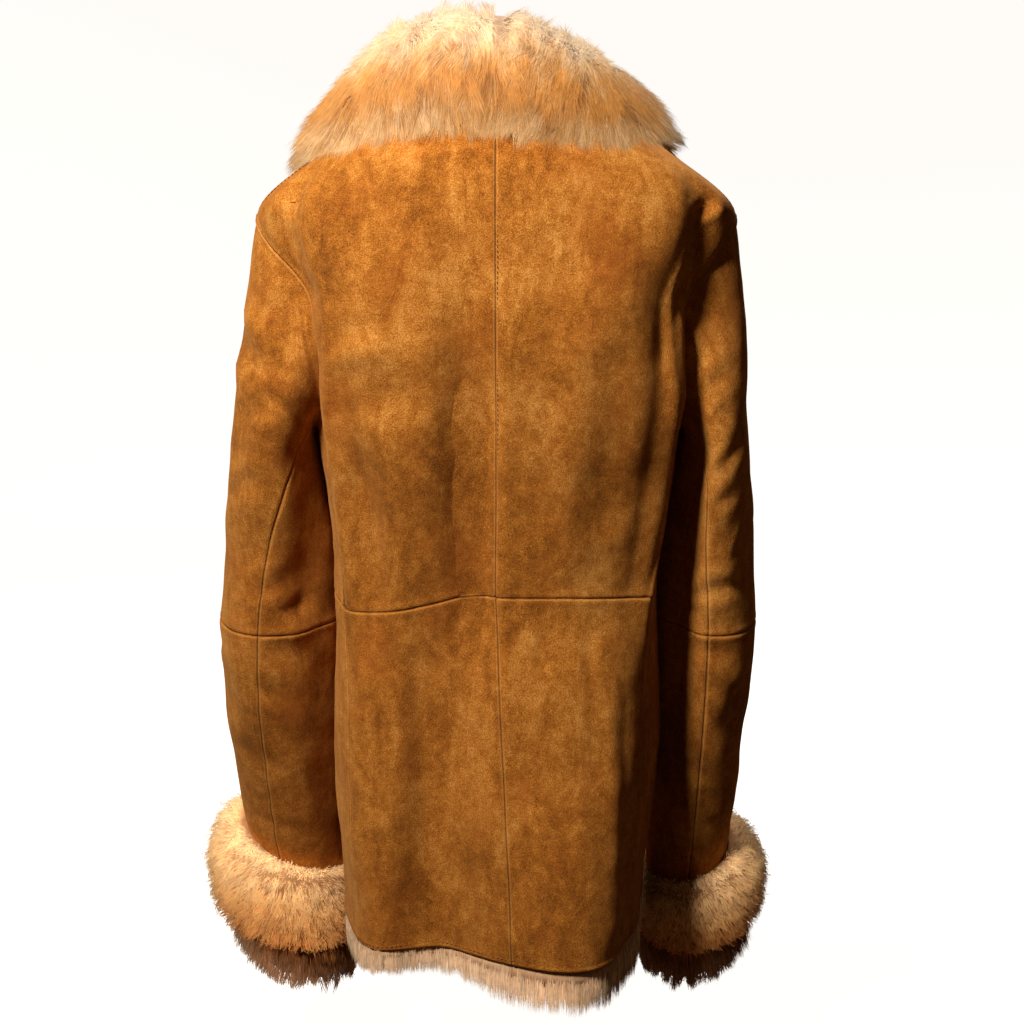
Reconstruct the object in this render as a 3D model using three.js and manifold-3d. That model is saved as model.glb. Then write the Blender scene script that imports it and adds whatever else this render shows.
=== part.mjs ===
// A shearling coat, filled out as when it is worn, with nobody in it: suede outside, wool inside, a wide fur
// collar that runs into fur lapels, turned-back fur cuffs, and wool that shows below the hem and at the front edges.
// Millimetres, +Z up. The back of the coat faces +Y, the front faces -Y and the wearer's left is +X.
// The origin is in the middle of the neck opening, level with the collar seam at the centre back.
import * as THREE from "three";
import Module from "manifold-3d";

const wasm = await Module();
wasm.setup();

// Driving dimensions
const SKIN = 5; // sheepskin with its clipped wool, as one wall
const SEAM = 0.3; // clearance between two pieces at a seam
const ARMHOLE_GAP = 0.45; // and round the armhole, where both edges are curved
const WAIST_Z = -445; // waist seam, measured at the side
const HEM_Z = -757; // lower edge of the suede
const SHOULDER_Z = -114; // top of the armhole
const UNDERARM_Z = -300; // bottom of the armhole
const NECK_Z = -8; // side of the neck opening
const BREAK_Z = -345; // where the lapels end and the fronts begin to meet
const ELBOW_Z = -480; // elbow seam of the sleeve
const BICEP_Z = -330; // first full ring of the sleeve, just under the armhole
const SLEEVE_END_Z = -799; // end of the suede sleeve, inside the cuff
const ARMHOLE_BACK = { left: 30, right: 24 }; // how far the armhole reaches round to the back, in degrees
const ARMHOLE_FRONT = 32; // and round to the front
const SHOULDER_BACK = { left: 15, right: 0 }; // how far the shoulder seam lies behind the ridge, in degrees
const SHOULDER_BLEND = 60; // height over which it moves back from the top of the armhole
const SKIRT_ROWS = 9; // rows of corners in each skirt panel
const WOOL_RISE = (WAIST_Z - HEM_Z) / SKIRT_ROWS; // how far the wool is built up inside the hem: one row
const WOOL_DEPTH = 12; // thickness of the standing wool
const EDGE_WOOL = 12; // how far the wool stands past a front edge

const SUEDE = new THREE.MeshStandardMaterial({ color: 0x96581f, roughness: 0.95, metalness: 0 });
const COLLAR_FUR = new THREE.MeshStandardMaterial({ color: 0xd99a4a, roughness: 1, metalness: 0 });
const CUFF_FUR = new THREE.MeshStandardMaterial({ color: 0xc79a66, roughness: 1, metalness: 0 });
const WOOL = new THREE.MeshStandardMaterial({ color: 0xdcc0a2, roughness: 1, metalness: 0 });

// Rings of the body, from below the hem to the neck. z is the height at the side; half is the half width; back and
// front are the depths each way; square is how boxy the ring is; the lifts raise the ring at the centre back and
// front.
const BODY_RINGS = [
  { z: -830, half: 149, back: 119, front: 152, square: 0.05, backLift: 0, frontLift: 0 },
  { z: -757, half: 147, back: 118, front: 150, square: 0.05, backLift: 0, frontLift: 0 },
  { z: -640, half: 148, back: 115, front: 146, square: 0.05, backLift: 4, frontLift: 2 },
  { z: -540, half: 147, back: 109, front: 140, square: 0.05, backLift: 10, frontLift: 4 },
  { z: -445, half: 145, back: 103, front: 134, square: 0.05, backLift: 9, frontLift: 3 },
  { z: -360, half: 152, back: 110, front: 138, square: 0.05, backLift: 12, frontLift: 5 },
  { z: -280, half: 161, back: 120, front: 142, square: 0.06, backLift: 8, frontLift: 2 },
  { z: -190, half: 171, back: 124, front: 134, square: 0.06, backLift: 12, frontLift: -2 },
  { z: -114, half: 208, back: 110, front: 112, square: 0.05, backLift: 30, frontLift: -12 },
  { z: -60, half: 148, back: 86, front: 88, square: 0.03, backLift: 26, frontLift: -34 },
  { z: -8, half: 78, back: 56, front: 62, square: 0.02, backLift: 8, frontLift: -62 },
];

// Soft folds of the body. at and spread are degrees round the ring from the centre back, + to the wearer's left;
// a fold starts at top, is deepest from deep down to low, and is gone at end; depth is outward where it is positive.
const BODY_FOLDS = [
  { name: "hollow left of centre", at: 20, spread: 24, top: -330, deep: -620, low: -830, end: -900, depth: -28 },
  { name: "swing of the back hem", at: -21, spread: 27, top: -470, deep: -757, low: -830, end: -900, depth: 30 },
  { name: "left edge of the hem", at: 72, spread: 38, top: -580, deep: -757, low: -830, end: -900, depth: -9 },
  { name: "right edge of the hem", at: -80, spread: 44, top: -580, deep: -757, low: -830, end: -900, depth: -15 },
  { name: "dip at centre back", at: 3, spread: 14, top: -110, deep: -300, low: -430, end: -560, depth: -7 },
  { name: "left shoulder blade", at: 30, spread: 22, top: -90, deep: -200, low: -260, end: -400, depth: 7 },
  { name: "right shoulder blade", at: -30, spread: 22, top: -90, deep: -210, low: -280, end: -430, depth: 7 },
  { name: "fullness at the right", at: -72, spread: 50, top: -200, deep: -270, low: -330, end: -430, depth: 6 },
  { name: "left back tuck, top", at: 51, spread: 11, top: -72, deep: -104, low: -122, end: -172, depth: -7 },
  { name: "left back tuck", at: 57, spread: 11, top: -112, deep: -150, low: -168, end: -222, depth: -8.5 },
  { name: "left back tuck, foot", at: 67, spread: 14, top: -162, deep: -236, low: -300, end: -390, depth: -7 },
  { name: "right back tuck, top", at: -51, spread: 11, top: -84, deep: -116, low: -132, end: -176, depth: -10 },
  { name: "right back tuck", at: -58, spread: 11, top: -114, deep: -152, low: -170, end: -222, depth: -13 },
  { name: "right back tuck, foot", at: -73, spread: 14, top: -158, deep: -232, low: -304, end: -430, depth: -14 },
  { name: "edge of the left back", at: 52, spread: 13, top: -140, deep: -215, low: -380, end: -480, depth: 6 },
  { name: "edge of the right back", at: -58, spread: 13, top: -110, deep: -200, low: -410, end: -530, depth: 9 },
  { name: "left front tuck", at: 122, spread: 15, top: -90, deep: -160, low: -280, end: -360, depth: -8 },
  { name: "right front tuck", at: -122, spread: 15, top: -90, deep: -160, low: -280, end: -360, depth: -9 },
  { name: "left front hem wave", at: 142, spread: 18, top: -470, deep: -757, low: -830, end: -900, depth: 10 },
  { name: "right front hem wave", at: -140, spread: 18, top: -470, deep: -757, low: -830, end: -900, depth: 9 },
  { name: "left front hollow", at: 162, spread: 12, top: -480, deep: -757, low: -830, end: -900, depth: -7 },
  { name: "right front hollow", at: -163, spread: 12, top: -480, deep: -757, low: -830, end: -900, depth: -6 },
];

// Places where the seams and the hem run higher or lower, with the columns of the folds; depth is upward.
const BODY_LIFTS = [
  { name: "waist dips at the left", at: 42, spread: 42, top: -330, deep: -445, low: -446, end: -560, depth: -13 },
  { name: "hem rises at the right", at: -80, spread: 60, top: -600, deep: -757, low: -830, end: -900, depth: 14 },
];

// Seams that run up and down the body, in degrees round the ring at each height, for the left side.
const BODY_SEAMS = [
  { z: -800, centreBack: -4, sideBack: 55, sideFront: 116, rollLine: 175 },
  { z: -757, centreBack: -4, sideBack: 55, sideFront: 116, rollLine: 175 },
  { z: -600, centreBack: -2, sideBack: 56, sideFront: 116, rollLine: 175 },
  { z: -445, centreBack: 0, sideBack: 58, sideFront: 117, rollLine: 175 },
  { z: -370, centreBack: 0, sideBack: 61, sideFront: 117, rollLine: 175 },
  { z: -345, centreBack: 0, sideBack: 62, sideFront: 117, rollLine: 175 },
  { z: -280, centreBack: 0, sideBack: 66, sideFront: 116, rollLine: 166 },
  { z: -114, centreBack: 0, sideBack: 66, sideFront: 116, rollLine: 140 },
  { z: -8, centreBack: 0, sideBack: 66, sideFront: 116, rollLine: 118 },
];

// Rings of the sleeves, from the bicep down. outer is the distance of the outer edge from the middle of the coat;
// half is the half width and deep the half depth; y is the middle; forward and lift tip the ring, in degrees, with
// its front side and its outer side up.
const SLEEVE_RINGS = {
  left: [
    { z: -330, outer: 238.5, half: 40.5, deep: 68, y: -5, forward: 0, lift: 0 },
    { z: -400, outer: 247, half: 49, deep: 63, y: -19, forward: 2, lift: 0 },
    { z: -480, outer: 254.5, half: 54.5, deep: 59, y: -28, forward: 6, lift: 0 },
    { z: -545, outer: 255.5, half: 54.5, deep: 56, y: -38, forward: 10, lift: 2 },
    { z: -612, outer: 252, half: 52.5, deep: 54, y: -52, forward: 12, lift: 5 },
    { z: -674, outer: 246, half: 49.5, deep: 52, y: -68, forward: 13, lift: 9 },
    { z: -725, outer: 240.5, half: 47.5, deep: 50, y: -82, forward: 14, lift: 12 },
    { z: -799, outer: 236, half: 46, deep: 49, y: -102, forward: 14, lift: 14 },
    { z: -855, outer: 235, half: 45, deep: 48, y: -117, forward: 14, lift: 14 },
  ],
  right: [
    { z: -330, outer: 226, half: 33, deep: 70, y: -6, forward: 0, lift: 0 },
    { z: -400, outer: 233.5, half: 41, deep: 65, y: -20, forward: 2, lift: 0 },
    { z: -480, outer: 238, half: 46, deep: 61, y: -29, forward: 6, lift: 0 },
    { z: -545, outer: 236, half: 45, deep: 58, y: -40, forward: 10, lift: 2 },
    { z: -612, outer: 231.5, half: 42.5, deep: 55, y: -54, forward: 12, lift: 5 },
    { z: -674, outer: 228, half: 41, deep: 53, y: -70, forward: 13, lift: 8 },
    { z: -725, outer: 225, half: 40, deep: 51, y: -84, forward: 14, lift: 10 },
    { z: -799, outer: 223, half: 39, deep: 50, y: -104, forward: 14, lift: 12 },
    { z: -855, outer: 222, half: 38, deep: 49, y: -119, forward: 14, lift: 12 },
  ],
};

// The back seam of the sleeve, in degrees round its ring: 0 is the outer side, 90 the back, 180 against the body.
const SLEEVE_SEAM = {
  left: [
    { z: -330, at: 124 },
    { z: -347, at: 110 },
    { z: -402, at: 87 },
    { z: -480, at: 76 },
    { z: -799, at: 74 },
  ],
  right: [
    { z: -330, at: 122 },
    { z: -347, at: 108 },
    { z: -402, at: 102 },
    { z: -480, at: 94 },
    { z: -799, at: 94 },
  ],
};
const SLEEVE_FRONT_SEAM = -72;

// Folds of the sleeves, with the columns of the body's folds.
const SLEEVE_FOLDS = {
  left: [
    { name: "hollow above the elbow", at: 118, spread: 34, top: -380, deep: -440, low: -452, end: -482, depth: -9 },
    { name: "fullness at the elbow", at: 60, spread: 44, top: -420, deep: -500, low: -520, end: -620, depth: 4 },
    { name: "break below the elbow", at: 30, spread: 40, top: -500, deep: -540, low: -548, end: -590, depth: -4 },
    { name: "break at the front elbow", at: -90, spread: 36, top: -430, deep: -480, low: -490, end: -545, depth: -8 },
    { name: "dent in the upper arm", at: 50, spread: 30, top: -250, deep: -300, low: -310, end: -390, depth: -4 },
    { name: "valley beside the body", at: 138, spread: 34, top: -250, deep: -340, low: -620, end: -710, depth: -5 },
  ],
  right: [
    { name: "valley beside the body", at: 138, spread: 44, top: -200, deep: -330, low: -620, end: -710, depth: -12 },
    { name: "crease above the elbow", at: 40, spread: 34, top: -390, deep: -420, low: -430, end: -465, depth: -5 },
    { name: "fullness at the elbow", at: 60, spread: 40, top: -430, deep: -500, low: -520, end: -600, depth: 3 },
    { name: "break below the elbow", at: 50, spread: 36, top: -520, deep: -550, low: -560, end: -600, depth: -4 },
    { name: "fullness against the body", at: 198, spread: 34, top: -375, deep: -410, low: -440, end: -540, depth: 5 },
    { name: "break at the front elbow", at: -90, spread: 36, top: -430, deep: -480, low: -490, end: -545, depth: -8 },
  ],
};

// Stations of the fur collar and lapels, from the left break round the neck to the right break. x, y, z is the
// middle of the fur; ax, ay, az points from the roll to the outer edge; half is half the width that way, and thick
// half the thickness, fur included.
const COLLAR_STATIONS = [
  { x: 12, y: -160, z: -362, ax: 0.9, ay: 0.1, az: -0.2, half: 7, thick: 6 },
  { x: 20, y: -160, z: -325, ax: 0.92, ay: 0.1, az: -0.25, half: 17, thick: 11 },
  { x: 42, y: -153, z: -262, ax: 0.94, ay: 0.12, az: -0.25, half: 31, thick: 15 },
  { x: 72, y: -136, z: -192, ax: 0.92, ay: 0.2, az: -0.3, half: 43, thick: 18 },
  { x: 97, y: -106, z: -126, ax: 0.88, ay: 0.05, az: -0.45, half: 48, thick: 21 },
  { x: 116, y: -58, z: -72, ax: 0.8, ay: -0.1, az: -0.6, half: 54, thick: 24 },
  { x: 116, y: 2, z: -32, ax: 0.74, ay: 0.05, az: -0.67, half: 64, thick: 25 },
  { x: 70, y: 64, z: -5, ax: 0.42, ay: 0.35, az: -0.84, half: 58, thick: 28 },
  { x: 4, y: 86, z: 1, ax: 0, ay: 0.45, az: -0.89, half: 55, thick: 29 },
  { x: -62, y: 70, z: -16, ax: -0.45, ay: 0.35, az: -0.82, half: 52, thick: 26 },
  { x: -104, y: 12, z: -27, ax: -0.86, ay: 0.1, az: -0.5, half: 53, thick: 24 },
  { x: -108, y: -56, z: -68, ax: -0.84, ay: -0.1, az: -0.53, half: 52, thick: 23 },
  { x: -95, y: -106, z: -126, ax: -0.88, ay: 0.05, az: -0.45, half: 48, thick: 21 },
  { x: -71, y: -136, z: -192, ax: -0.92, ay: 0.2, az: -0.3, half: 43, thick: 18 },
  { x: -42, y: -153, z: -262, ax: -0.94, ay: 0.12, az: -0.25, half: 31, thick: 15 },
  { x: -20, y: -160, z: -325, ax: -0.92, ay: 0.1, az: -0.25, half: 17, thick: 11 },
  { x: -12, y: -160, z: -362, ax: -0.9, ay: 0.1, az: -0.2, half: 7, thick: 6 },
];
const FUR_TAPER = 0.25; // how much thinner the fur is at its outer edge, and thicker at the roll
const FUR_BLUNT = 2.6; // power of the fur's rounded section: 2 is an ellipse, and more is boxier
const NOTCH = 4.6; // station, counted from each end, where the collar is sewn to the lapel

// Profile of a fur cuff: along is the distance from the end of the sleeve, down being positive, and out is how far
// the fur stands off the sleeve, as a share of its thickness there. The part above the end is scaled by the cuff's top.
const CUFF_PROFILE = [
  { along: -78, out: 0.12 },
  { along: -74, out: 0.55 },
  { along: -55, out: 0.88 },
  { along: -28, out: 1 },
  { along: 0, out: 0.95 },
  { along: 22, out: 0.72 },
  { along: 40, out: 0.4 },
  { along: 48, out: 0.12 },
];
// The inside of the cuff: the wool that turns out round the end of the sleeve, then the face on the sleeve. out is in
// millimetres from the sleeve's outer face.
const CUFF_LINING = [
  { along: 44, out: -4 },
  { along: 22, out: -9 },
  { along: 2, out: -8 },
  { along: 0.8, out: 0.9 },
  { along: -36, out: 0.9 },
  { along: -76, out: 1.2 },
];
// top scales the cuff's height above the end of the sleeve; outside, inside and round are the fur's thickness at the
// outer side, the side by the body and between them; upAtOutside is how much higher the cuff sits at the outer side.
const CUFF_SIZES = {
  left: { top: 1, outside: 50, inside: 4, round: 30, upAtOutside: 24 },
  right: { top: 0.84, outside: 42, inside: 4, round: 29, upAtOutside: 14 },
};

const radians = (degrees) => (degrees * Math.PI) / 180;
const lerp = (a, b, t) => a + (b - a) * t;
const smooth = (t) => {
  const c = Math.min(1, Math.max(0, t));
  return c * c * (3 - 2 * c);
};
const steps = (count) => Array.from({ length: count + 1 }, (_, i) => i / count);

// A table's row at any value of its key column, by a cubic through the rows. The key runs either way.
function rowAt(table, key, value) {
  const sign = table[1][key] > table[0][key] ? 1 : -1;
  let i = table.findIndex((row) => sign * row[key] > sign * value) - 1;
  if (i < -1) i = table.length - 2;
  i = Math.min(table.length - 2, Math.max(0, i));
  const [a, b] = [table[i], table[i + 1]];
  const [before, after] = [table[Math.max(0, i - 1)], table[Math.min(table.length - 1, i + 2)]];
  const span = b[key] - a[key];
  const t = (value - a[key]) / span;
  const made = {};
  for (const column of Object.keys(a)) {
    if (column === key || typeof a[column] !== "number") continue;
    const slope = (from, to) => (to[column] - from[column]) / (to[key] - from[key]);
    const [slopeA, slopeB] = [slope(before, b), slope(a, after)];
    const [t2, t3] = [t * t, t * t * t];
    made[column] =
      (2 * t3 - 3 * t2 + 1) * a[column] +
      (t3 - 2 * t2 + t) * span * slopeA +
      (3 * t2 - 2 * t3) * b[column] +
      (t3 - t2) * span * slopeB;
  }
  return made;
}

// How far a table of folds moves a surface out at an angle and a height.
function foldDepth(folds, angle, z) {
  let depth = 0;
  for (const fold of folds) {
    let off = Math.abs(angle - fold.at) % 360;
    if (off > 180) off = 360 - off;
    if (off >= fold.spread) continue;
    const round = 0.5 + 0.5 * Math.cos((Math.PI * off) / fold.spread);
    const starts = smooth((fold.top - z) / (fold.top - fold.deep));
    const ends = 1 - smooth((fold.low - z) / (fold.low - fold.end));
    depth += fold.depth * round * starts * ends;
  }
  return depth;
}

// A point of the suede's outer face: angle in degrees from the centre back, + to the wearer's left.
function bodyPoint(angle, z) {
  const ring = rowAt(BODY_RINGS, "z", z);
  const [a, k] = [radians(angle), ring.square];
  const depth = Math.cos(a) > 0 ? ring.back : ring.front;
  const lift = Math.cos(a) > 0 ? ring.backLift : ring.frontLift;
  const x = (ring.half * (Math.sin(a) + k * Math.sin(3 * a))) / (1 - k);
  const y = (depth * (Math.cos(a) - k * Math.cos(3 * a))) / (1 - k);
  const out = new THREE.Vector2(x / ring.half ** 2, y / depth ** 2).normalize();
  const fold = foldDepth(BODY_FOLDS, angle, z);
  const height = z + lift * Math.cos(a) ** 2 + foldDepth(BODY_LIFTS, angle, z);
  return new THREE.Vector3(x + out.x * fold, y + out.y * fold, height);
}

// The outward normal of a surface, from its two slopes at a point.
function normalOf(surface, a, b, turn = 1, stepA = 0.4, stepB = 1) {
  const across = surface(a + stepA, b).sub(surface(a - stepA, b));
  const along = surface(a, b + stepB).sub(surface(a, b - stepB));
  return across.cross(along).normalize().multiplyScalar(turn);
}
const bodyNormal = (angle, z) => normalOf(bodyPoint, angle, z, -1);
const bodyOffset = (angle, z, out) => bodyPoint(angle, z).addScaledVector(bodyNormal(angle, z), out);

const sideName = (side) => (side > 0 ? "left" : "right");

// The armhole, as an angle and a height on the body. turn is 0 at the shoulder, 90 at the back, 180 under the arm.
function armhole(side, turn) {
  const [middle, reach] = [(SHOULDER_Z + UNDERARM_Z) / 2, (SHOULDER_Z - UNDERARM_Z) / 2];
  const round = Math.sin(radians(turn));
  const spread = round > 0 ? ARMHOLE_BACK[sideName(side)] : ARMHOLE_FRONT;
  return { angle: side * (90 - spread * round), z: middle + reach * Math.cos(radians(turn)) };
}
const armholePoint = (side, turn) => bodyPoint(armhole(side, turn).angle, armhole(side, turn).z);

// A point of the sleeve below the armhole: turn in degrees round it, z the height of its middle.
function sleeveTube(side, turn, z) {
  const ring = rowAt(SLEEVE_RINGS[sideName(side)], "z", z);
  const [t, lift, forward] = [radians(turn), radians(ring.lift), radians(ring.forward)];
  const fold = foldDepth(SLEEVE_FOLDS[sideName(side)], turn, z);
  const [across, deep] = [(ring.half + fold) * Math.cos(t), (ring.deep + fold) * Math.sin(t)];
  return new THREE.Vector3(
    side * (ring.outer - ring.half + across * Math.cos(lift)),
    ring.y + deep * Math.cos(forward),
    z + across * Math.sin(lift) - deep * Math.sin(forward),
  );
}

// The whole sleeve: above the bicep a curve leaves each point of the armhole and runs down into the tube. along is 0
// at the armhole and 1 at the bicep, and past that it is 1 plus the distance below the bicep.
function sleevePoint(side, turn, along) {
  if (along > 1) return sleeveTube(side, turn, BICEP_Z - (along - 1));
  const from = armholePoint(side, turn);
  const to = sleeveTube(side, turn, BICEP_Z);
  const pull = 0.75 * from.distanceTo(to);
  const outward = 0.2 + 0.3 * (1 - Math.cos(radians(turn)));
  const leave = new THREE.Vector3(side * outward, 0, -Math.sqrt(1 - outward ** 2)).multiplyScalar(pull);
  const arrive = sleeveTube(side, turn, BICEP_Z - 2).sub(sleeveTube(side, turn, BICEP_Z)).setLength(pull);
  const [t, t2, t3] = [along, along ** 2, along ** 3];
  return new THREE.Vector3()
    .addScaledVector(from, 2 * t3 - 3 * t2 + 1)
    .addScaledVector(leave, t3 - 2 * t2 + t)
    .addScaledVector(to, 3 * t2 - 2 * t3)
    .addScaledVector(arrive, t3 - t2);
}
function sleeveNormal(side, turn, along) {
  const step = along < 1 ? 0.02 : 1;
  const low = Math.max(0, along - step);
  const down = sleevePoint(side, turn, along + step).sub(sleevePoint(side, turn, low));
  const round = sleevePoint(side, turn + 1, along).sub(sleevePoint(side, turn - 1, along));
  return down.cross(round).normalize().multiplyScalar(side);
}

// The seam at the armhole: where it is, which way its thickness runs, and which way the sleeve lies. Body and sleeve
// both end on this face, so that neither wall reaches into the other.
function armholeSeam(side, turn) {
  const at = armholePoint(side, turn);
  const along = armholePoint(side, turn + 1).sub(armholePoint(side, turn - 1)).normalize();
  const hole = armhole(side, turn);
  const body = bodyNormal(hole.angle, hole.z);
  const sleeve = sleeveNormal(side, turn, 0);
  const bend = Math.atan2(new THREE.Vector3().crossVectors(body, sleeve).dot(along), body.dot(sleeve));
  const thick = body.applyAxisAngle(along, bend / 2).normalize();
  const toSleeve = new THREE.Vector3().crossVectors(along, thick).normalize();
  const down = sleevePoint(side, turn, 0.05).sub(at);
  if (toSleeve.dot(down) < 0) toSleeve.negate();
  return { at, thick, toSleeve, reach: SKIN * Math.min(1.25, 1 / Math.cos(bend / 2)) };
}

// A closed geometry from triangles, facing out.
function closed(points, triangles) {
  let volume = 0;
  for (const [a, b, c] of triangles) volume += points[a].dot(new THREE.Vector3().crossVectors(points[b], points[c]));
  const index = triangles.flatMap(([a, b, c]) => (volume > 0 ? [a, b, c] : [a, c, b]));
  const geometry = new THREE.BufferGeometry();
  geometry.setAttribute("position", new THREE.Float32BufferAttribute(points.flatMap((p) => [p.x, p.y, p.z]), 3));
  geometry.setIndex(index);
  return geometry;
}

// A wall between two grids of points, the outer and the inner face of one piece.
function wall(outer, inner) {
  const [rows, columns] = [outer.length, outer[0].length];
  const points = [...outer.flat(), ...inner.flat()];
  const at = (layer, row, column) => layer * rows * columns + row * columns + column;
  const triangles = [];
  const quad = (a, b, c, d) => triangles.push([a, b, c], [a, c, d]);
  for (let r = 0; r < rows - 1; r++)
    for (let c = 0; c < columns - 1; c++) {
      quad(at(0, r, c), at(0, r, c + 1), at(0, r + 1, c + 1), at(0, r + 1, c));
      quad(at(1, r, c), at(1, r + 1, c), at(1, r + 1, c + 1), at(1, r, c + 1));
    }
  for (let r = 0; r < rows - 1; r++) {
    quad(at(0, r, 0), at(0, r + 1, 0), at(1, r + 1, 0), at(1, r, 0));
    quad(at(0, r, columns - 1), at(1, r, columns - 1), at(1, r + 1, columns - 1), at(0, r + 1, columns - 1));
  }
  for (let c = 0; c < columns - 1; c++) {
    quad(at(0, 0, c), at(1, 0, c), at(1, 0, c + 1), at(0, 0, c + 1));
    quad(at(0, rows - 1, c), at(0, rows - 1, c + 1), at(1, rows - 1, c + 1), at(1, rows - 1, c));
  }
  return closed(points, triangles);
}

// A solid through closed loops of points: a ring if it joins up, else with an end at each side.
function loft(loops, joinsUp) {
  const [count, size] = [loops.length, loops[0].length];
  const points = loops.flat();
  const triangles = [];
  for (let i = 0; i < (joinsUp ? count : count - 1); i++)
    for (let j = 0; j < size; j++) {
      const [next, beside] = [(i + 1) % count, (j + 1) % size];
      const [a, b, c, d] = [i * size + j, i * size + beside, next * size + beside, next * size + j];
      triangles.push([a, b, c], [a, c, d]);
    }
  if (!joinsUp)
    for (const [loop, turned] of [[0, true], [count - 1, false]]) {
      const middle = loops[loop].reduce((sum, p) => sum.add(p), new THREE.Vector3()).divideScalar(size);
      points.push(middle);
      for (let j = 0; j < size; j++) {
        const [a, b] = [loop * size + j, loop * size + ((j + 1) % size)];
        triangles.push(turned ? [points.length - 1, b, a] : [points.length - 1, a, b]);
      }
    }
  return closed(points, triangles);
}

const coat = new THREE.Group();
function add(name, geometry, material) {
  const mesh = new THREE.Mesh(geometry, material);
  mesh.name = name;
  coat.add(mesh);
}

// Body panels. A spot is a place on the body with its angle counted towards its own side, and one on the armhole also
// has its turn round it.
const HALF_SEAM = SEAM / 2;
const armSpot = (side, turn) => ({ angle: side * armhole(side, turn).angle, z: armhole(side, turn).z, turn });
const degreesFor = (z, distance) => distance / (radians(1) * rowAt(BODY_RINGS, "z", z).half * 0.9);

function bodyPanel(name, side, spots) {
  const outer = spots.map((row) => row.map((spot) => bodyPoint(side * spot.angle, spot.z)));
  const inner = spots.map((row) =>
    row.map((spot) => {
      if (spot.turn === undefined) return bodyOffset(side * spot.angle, spot.z, -SKIN);
      const seam = armholeSeam(side, spot.turn);
      return seam.at.addScaledVector(seam.thick, -seam.reach);
    }),
  );
  add(`${name}_${sideName(side)}`, wall(outer, inner), SUEDE);
}

const seamAt = (side, z, column) => {
  const seam = rowAt(BODY_SEAMS, "z", z);
  return column === "centreBack" ? side * seam.centreBack : seam[column];
};

// Rows of spots between two edges, each an angle for a height.
function spotRows(heights, columns, from, to) {
  return heights.map((z) => steps(columns).map((t) => ({ angle: lerp(from(z), to(z), t), z })));
}

// The turns of the armhole at which the panels and the sleeve all have a corner, so that their edges match.
const BACK_MEETS = 128; // where the side panel's back seam reaches the armhole
const FRONT_MEETS = 124; // and its front seam, counted the other way
const ARM_TURNS = 10; // corners of each panel along its part of the armhole
const BACK_TURNS = steps(ARM_TURNS).map((t) => t * BACK_MEETS);
const FRONT_TURNS = steps(ARM_TURNS).map((t) => -t * FRONT_MEETS);
const SIDE_TURNS = steps(ARM_TURNS).map((t) => lerp(BACK_MEETS, 360 - FRONT_MEETS, t));

// Heights of an upper panel's rows below the armhole.
const upperHeights = (armTurns) =>
  steps(6).map((t) => lerp(WAIST_Z + HALF_SEAM, armhole(1, armTurns[ARM_TURNS]).z, t));

// An upper back or front, from the waist past the armhole to the neck.
const NECK_ROWS = [-96, -78, -60, -42, -24, NECK_Z]; // its rows above the armhole
function upperPanel(name, side, middleEdge, seamColumn, armTurns) {
  const sign = Math.sign(armTurns[1]);
  const meet = armSpot(side, armTurns[ARM_TURNS]);
  const rows = [];
  const fill = (z, edge) => {
    const from = middleEdge(z);
    rows.push(steps(7).map((t) => (t === 1 ? { ...edge, z } : { angle: lerp(from, edge.angle, t), z })));
  };
  const below = upperHeights(armTurns);
  for (const z of below.slice(0, -1)) {
    const share = (z - below[0]) / (meet.z - below[0]);
    fill(z, { angle: lerp(seamAt(side, WAIST_Z, seamColumn), meet.angle, share) - sign * degreesFor(z, HALF_SEAM) });
  }
  for (const turn of armTurns.toReversed().slice(0, -1)) {
    const hole = armSpot(side, turn);
    const inset = turn === armTurns[ARM_TURNS] ? sign * degreesFor(hole.z, HALF_SEAM) : 0;
    fill(hole.z, { angle: hole.angle - inset, turn });
  }
  const movedBack = (z) => SHOULDER_BACK[sideName(side)] * smooth((z - SHOULDER_Z) / SHOULDER_BLEND);
  const shoulder = (z) => 90 - movedBack(z) - sign * degreesFor(z, HALF_SEAM);
  fill(SHOULDER_Z, { angle: shoulder(SHOULDER_Z), turn: sign * 0.1 });
  for (const z of NECK_ROWS) fill(z, { angle: shoulder(z) });
  bodyPanel(name, side, rows);
}

// The side panel reaches from the waist up to the lower part of the armhole.
function sideUpperPanel(side) {
  const [back, front] = [seamAt(side, WAIST_Z, "sideBack"), seamAt(side, WAIST_Z, "sideFront")];
  const rows = steps(6).map((t) =>
    SIDE_TURNS.map((turn, i) => {
      const top = armSpot(side, turn);
      const angleAtWaist = lerp(back, front, i / ARM_TURNS);
      const z = lerp(WAIST_Z + HALF_SEAM, top.z, t);
      const inset = (i === 0) - (i === ARM_TURNS);
      const angle = lerp(angleAtWaist, top.angle, t) + inset * degreesFor(z, HALF_SEAM);
      return t === 1 ? { angle, z, turn } : { angle, z };
    }),
  );
  bodyPanel("side_upper", side, rows);
}

const SKIRT_COLUMNS = { back: 8, side: 6, front: 7 };
const SKIRT_HEIGHTS = steps(SKIRT_ROWS).map((t) => lerp(HEM_Z, WAIST_Z - HALF_SEAM, t));
function lowerPanels(side) {
  const edge = (column, away) => (z) => seamAt(side, z, column) + away * degreesFor(z, HALF_SEAM);
  const { back, side: flank, front } = SKIRT_COLUMNS;
  bodyPanel("back_lower", side, spotRows(SKIRT_HEIGHTS, back, edge("centreBack", 1), edge("sideBack", -1)));
  bodyPanel("side_lower", side, spotRows(SKIRT_HEIGHTS, flank, edge("sideBack", 1), edge("sideFront", -1)));
  bodyPanel("front_lower", side, spotRows(SKIRT_HEIGHTS, front, edge("sideFront", 1), edge("rollLine", 0)));
}

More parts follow.
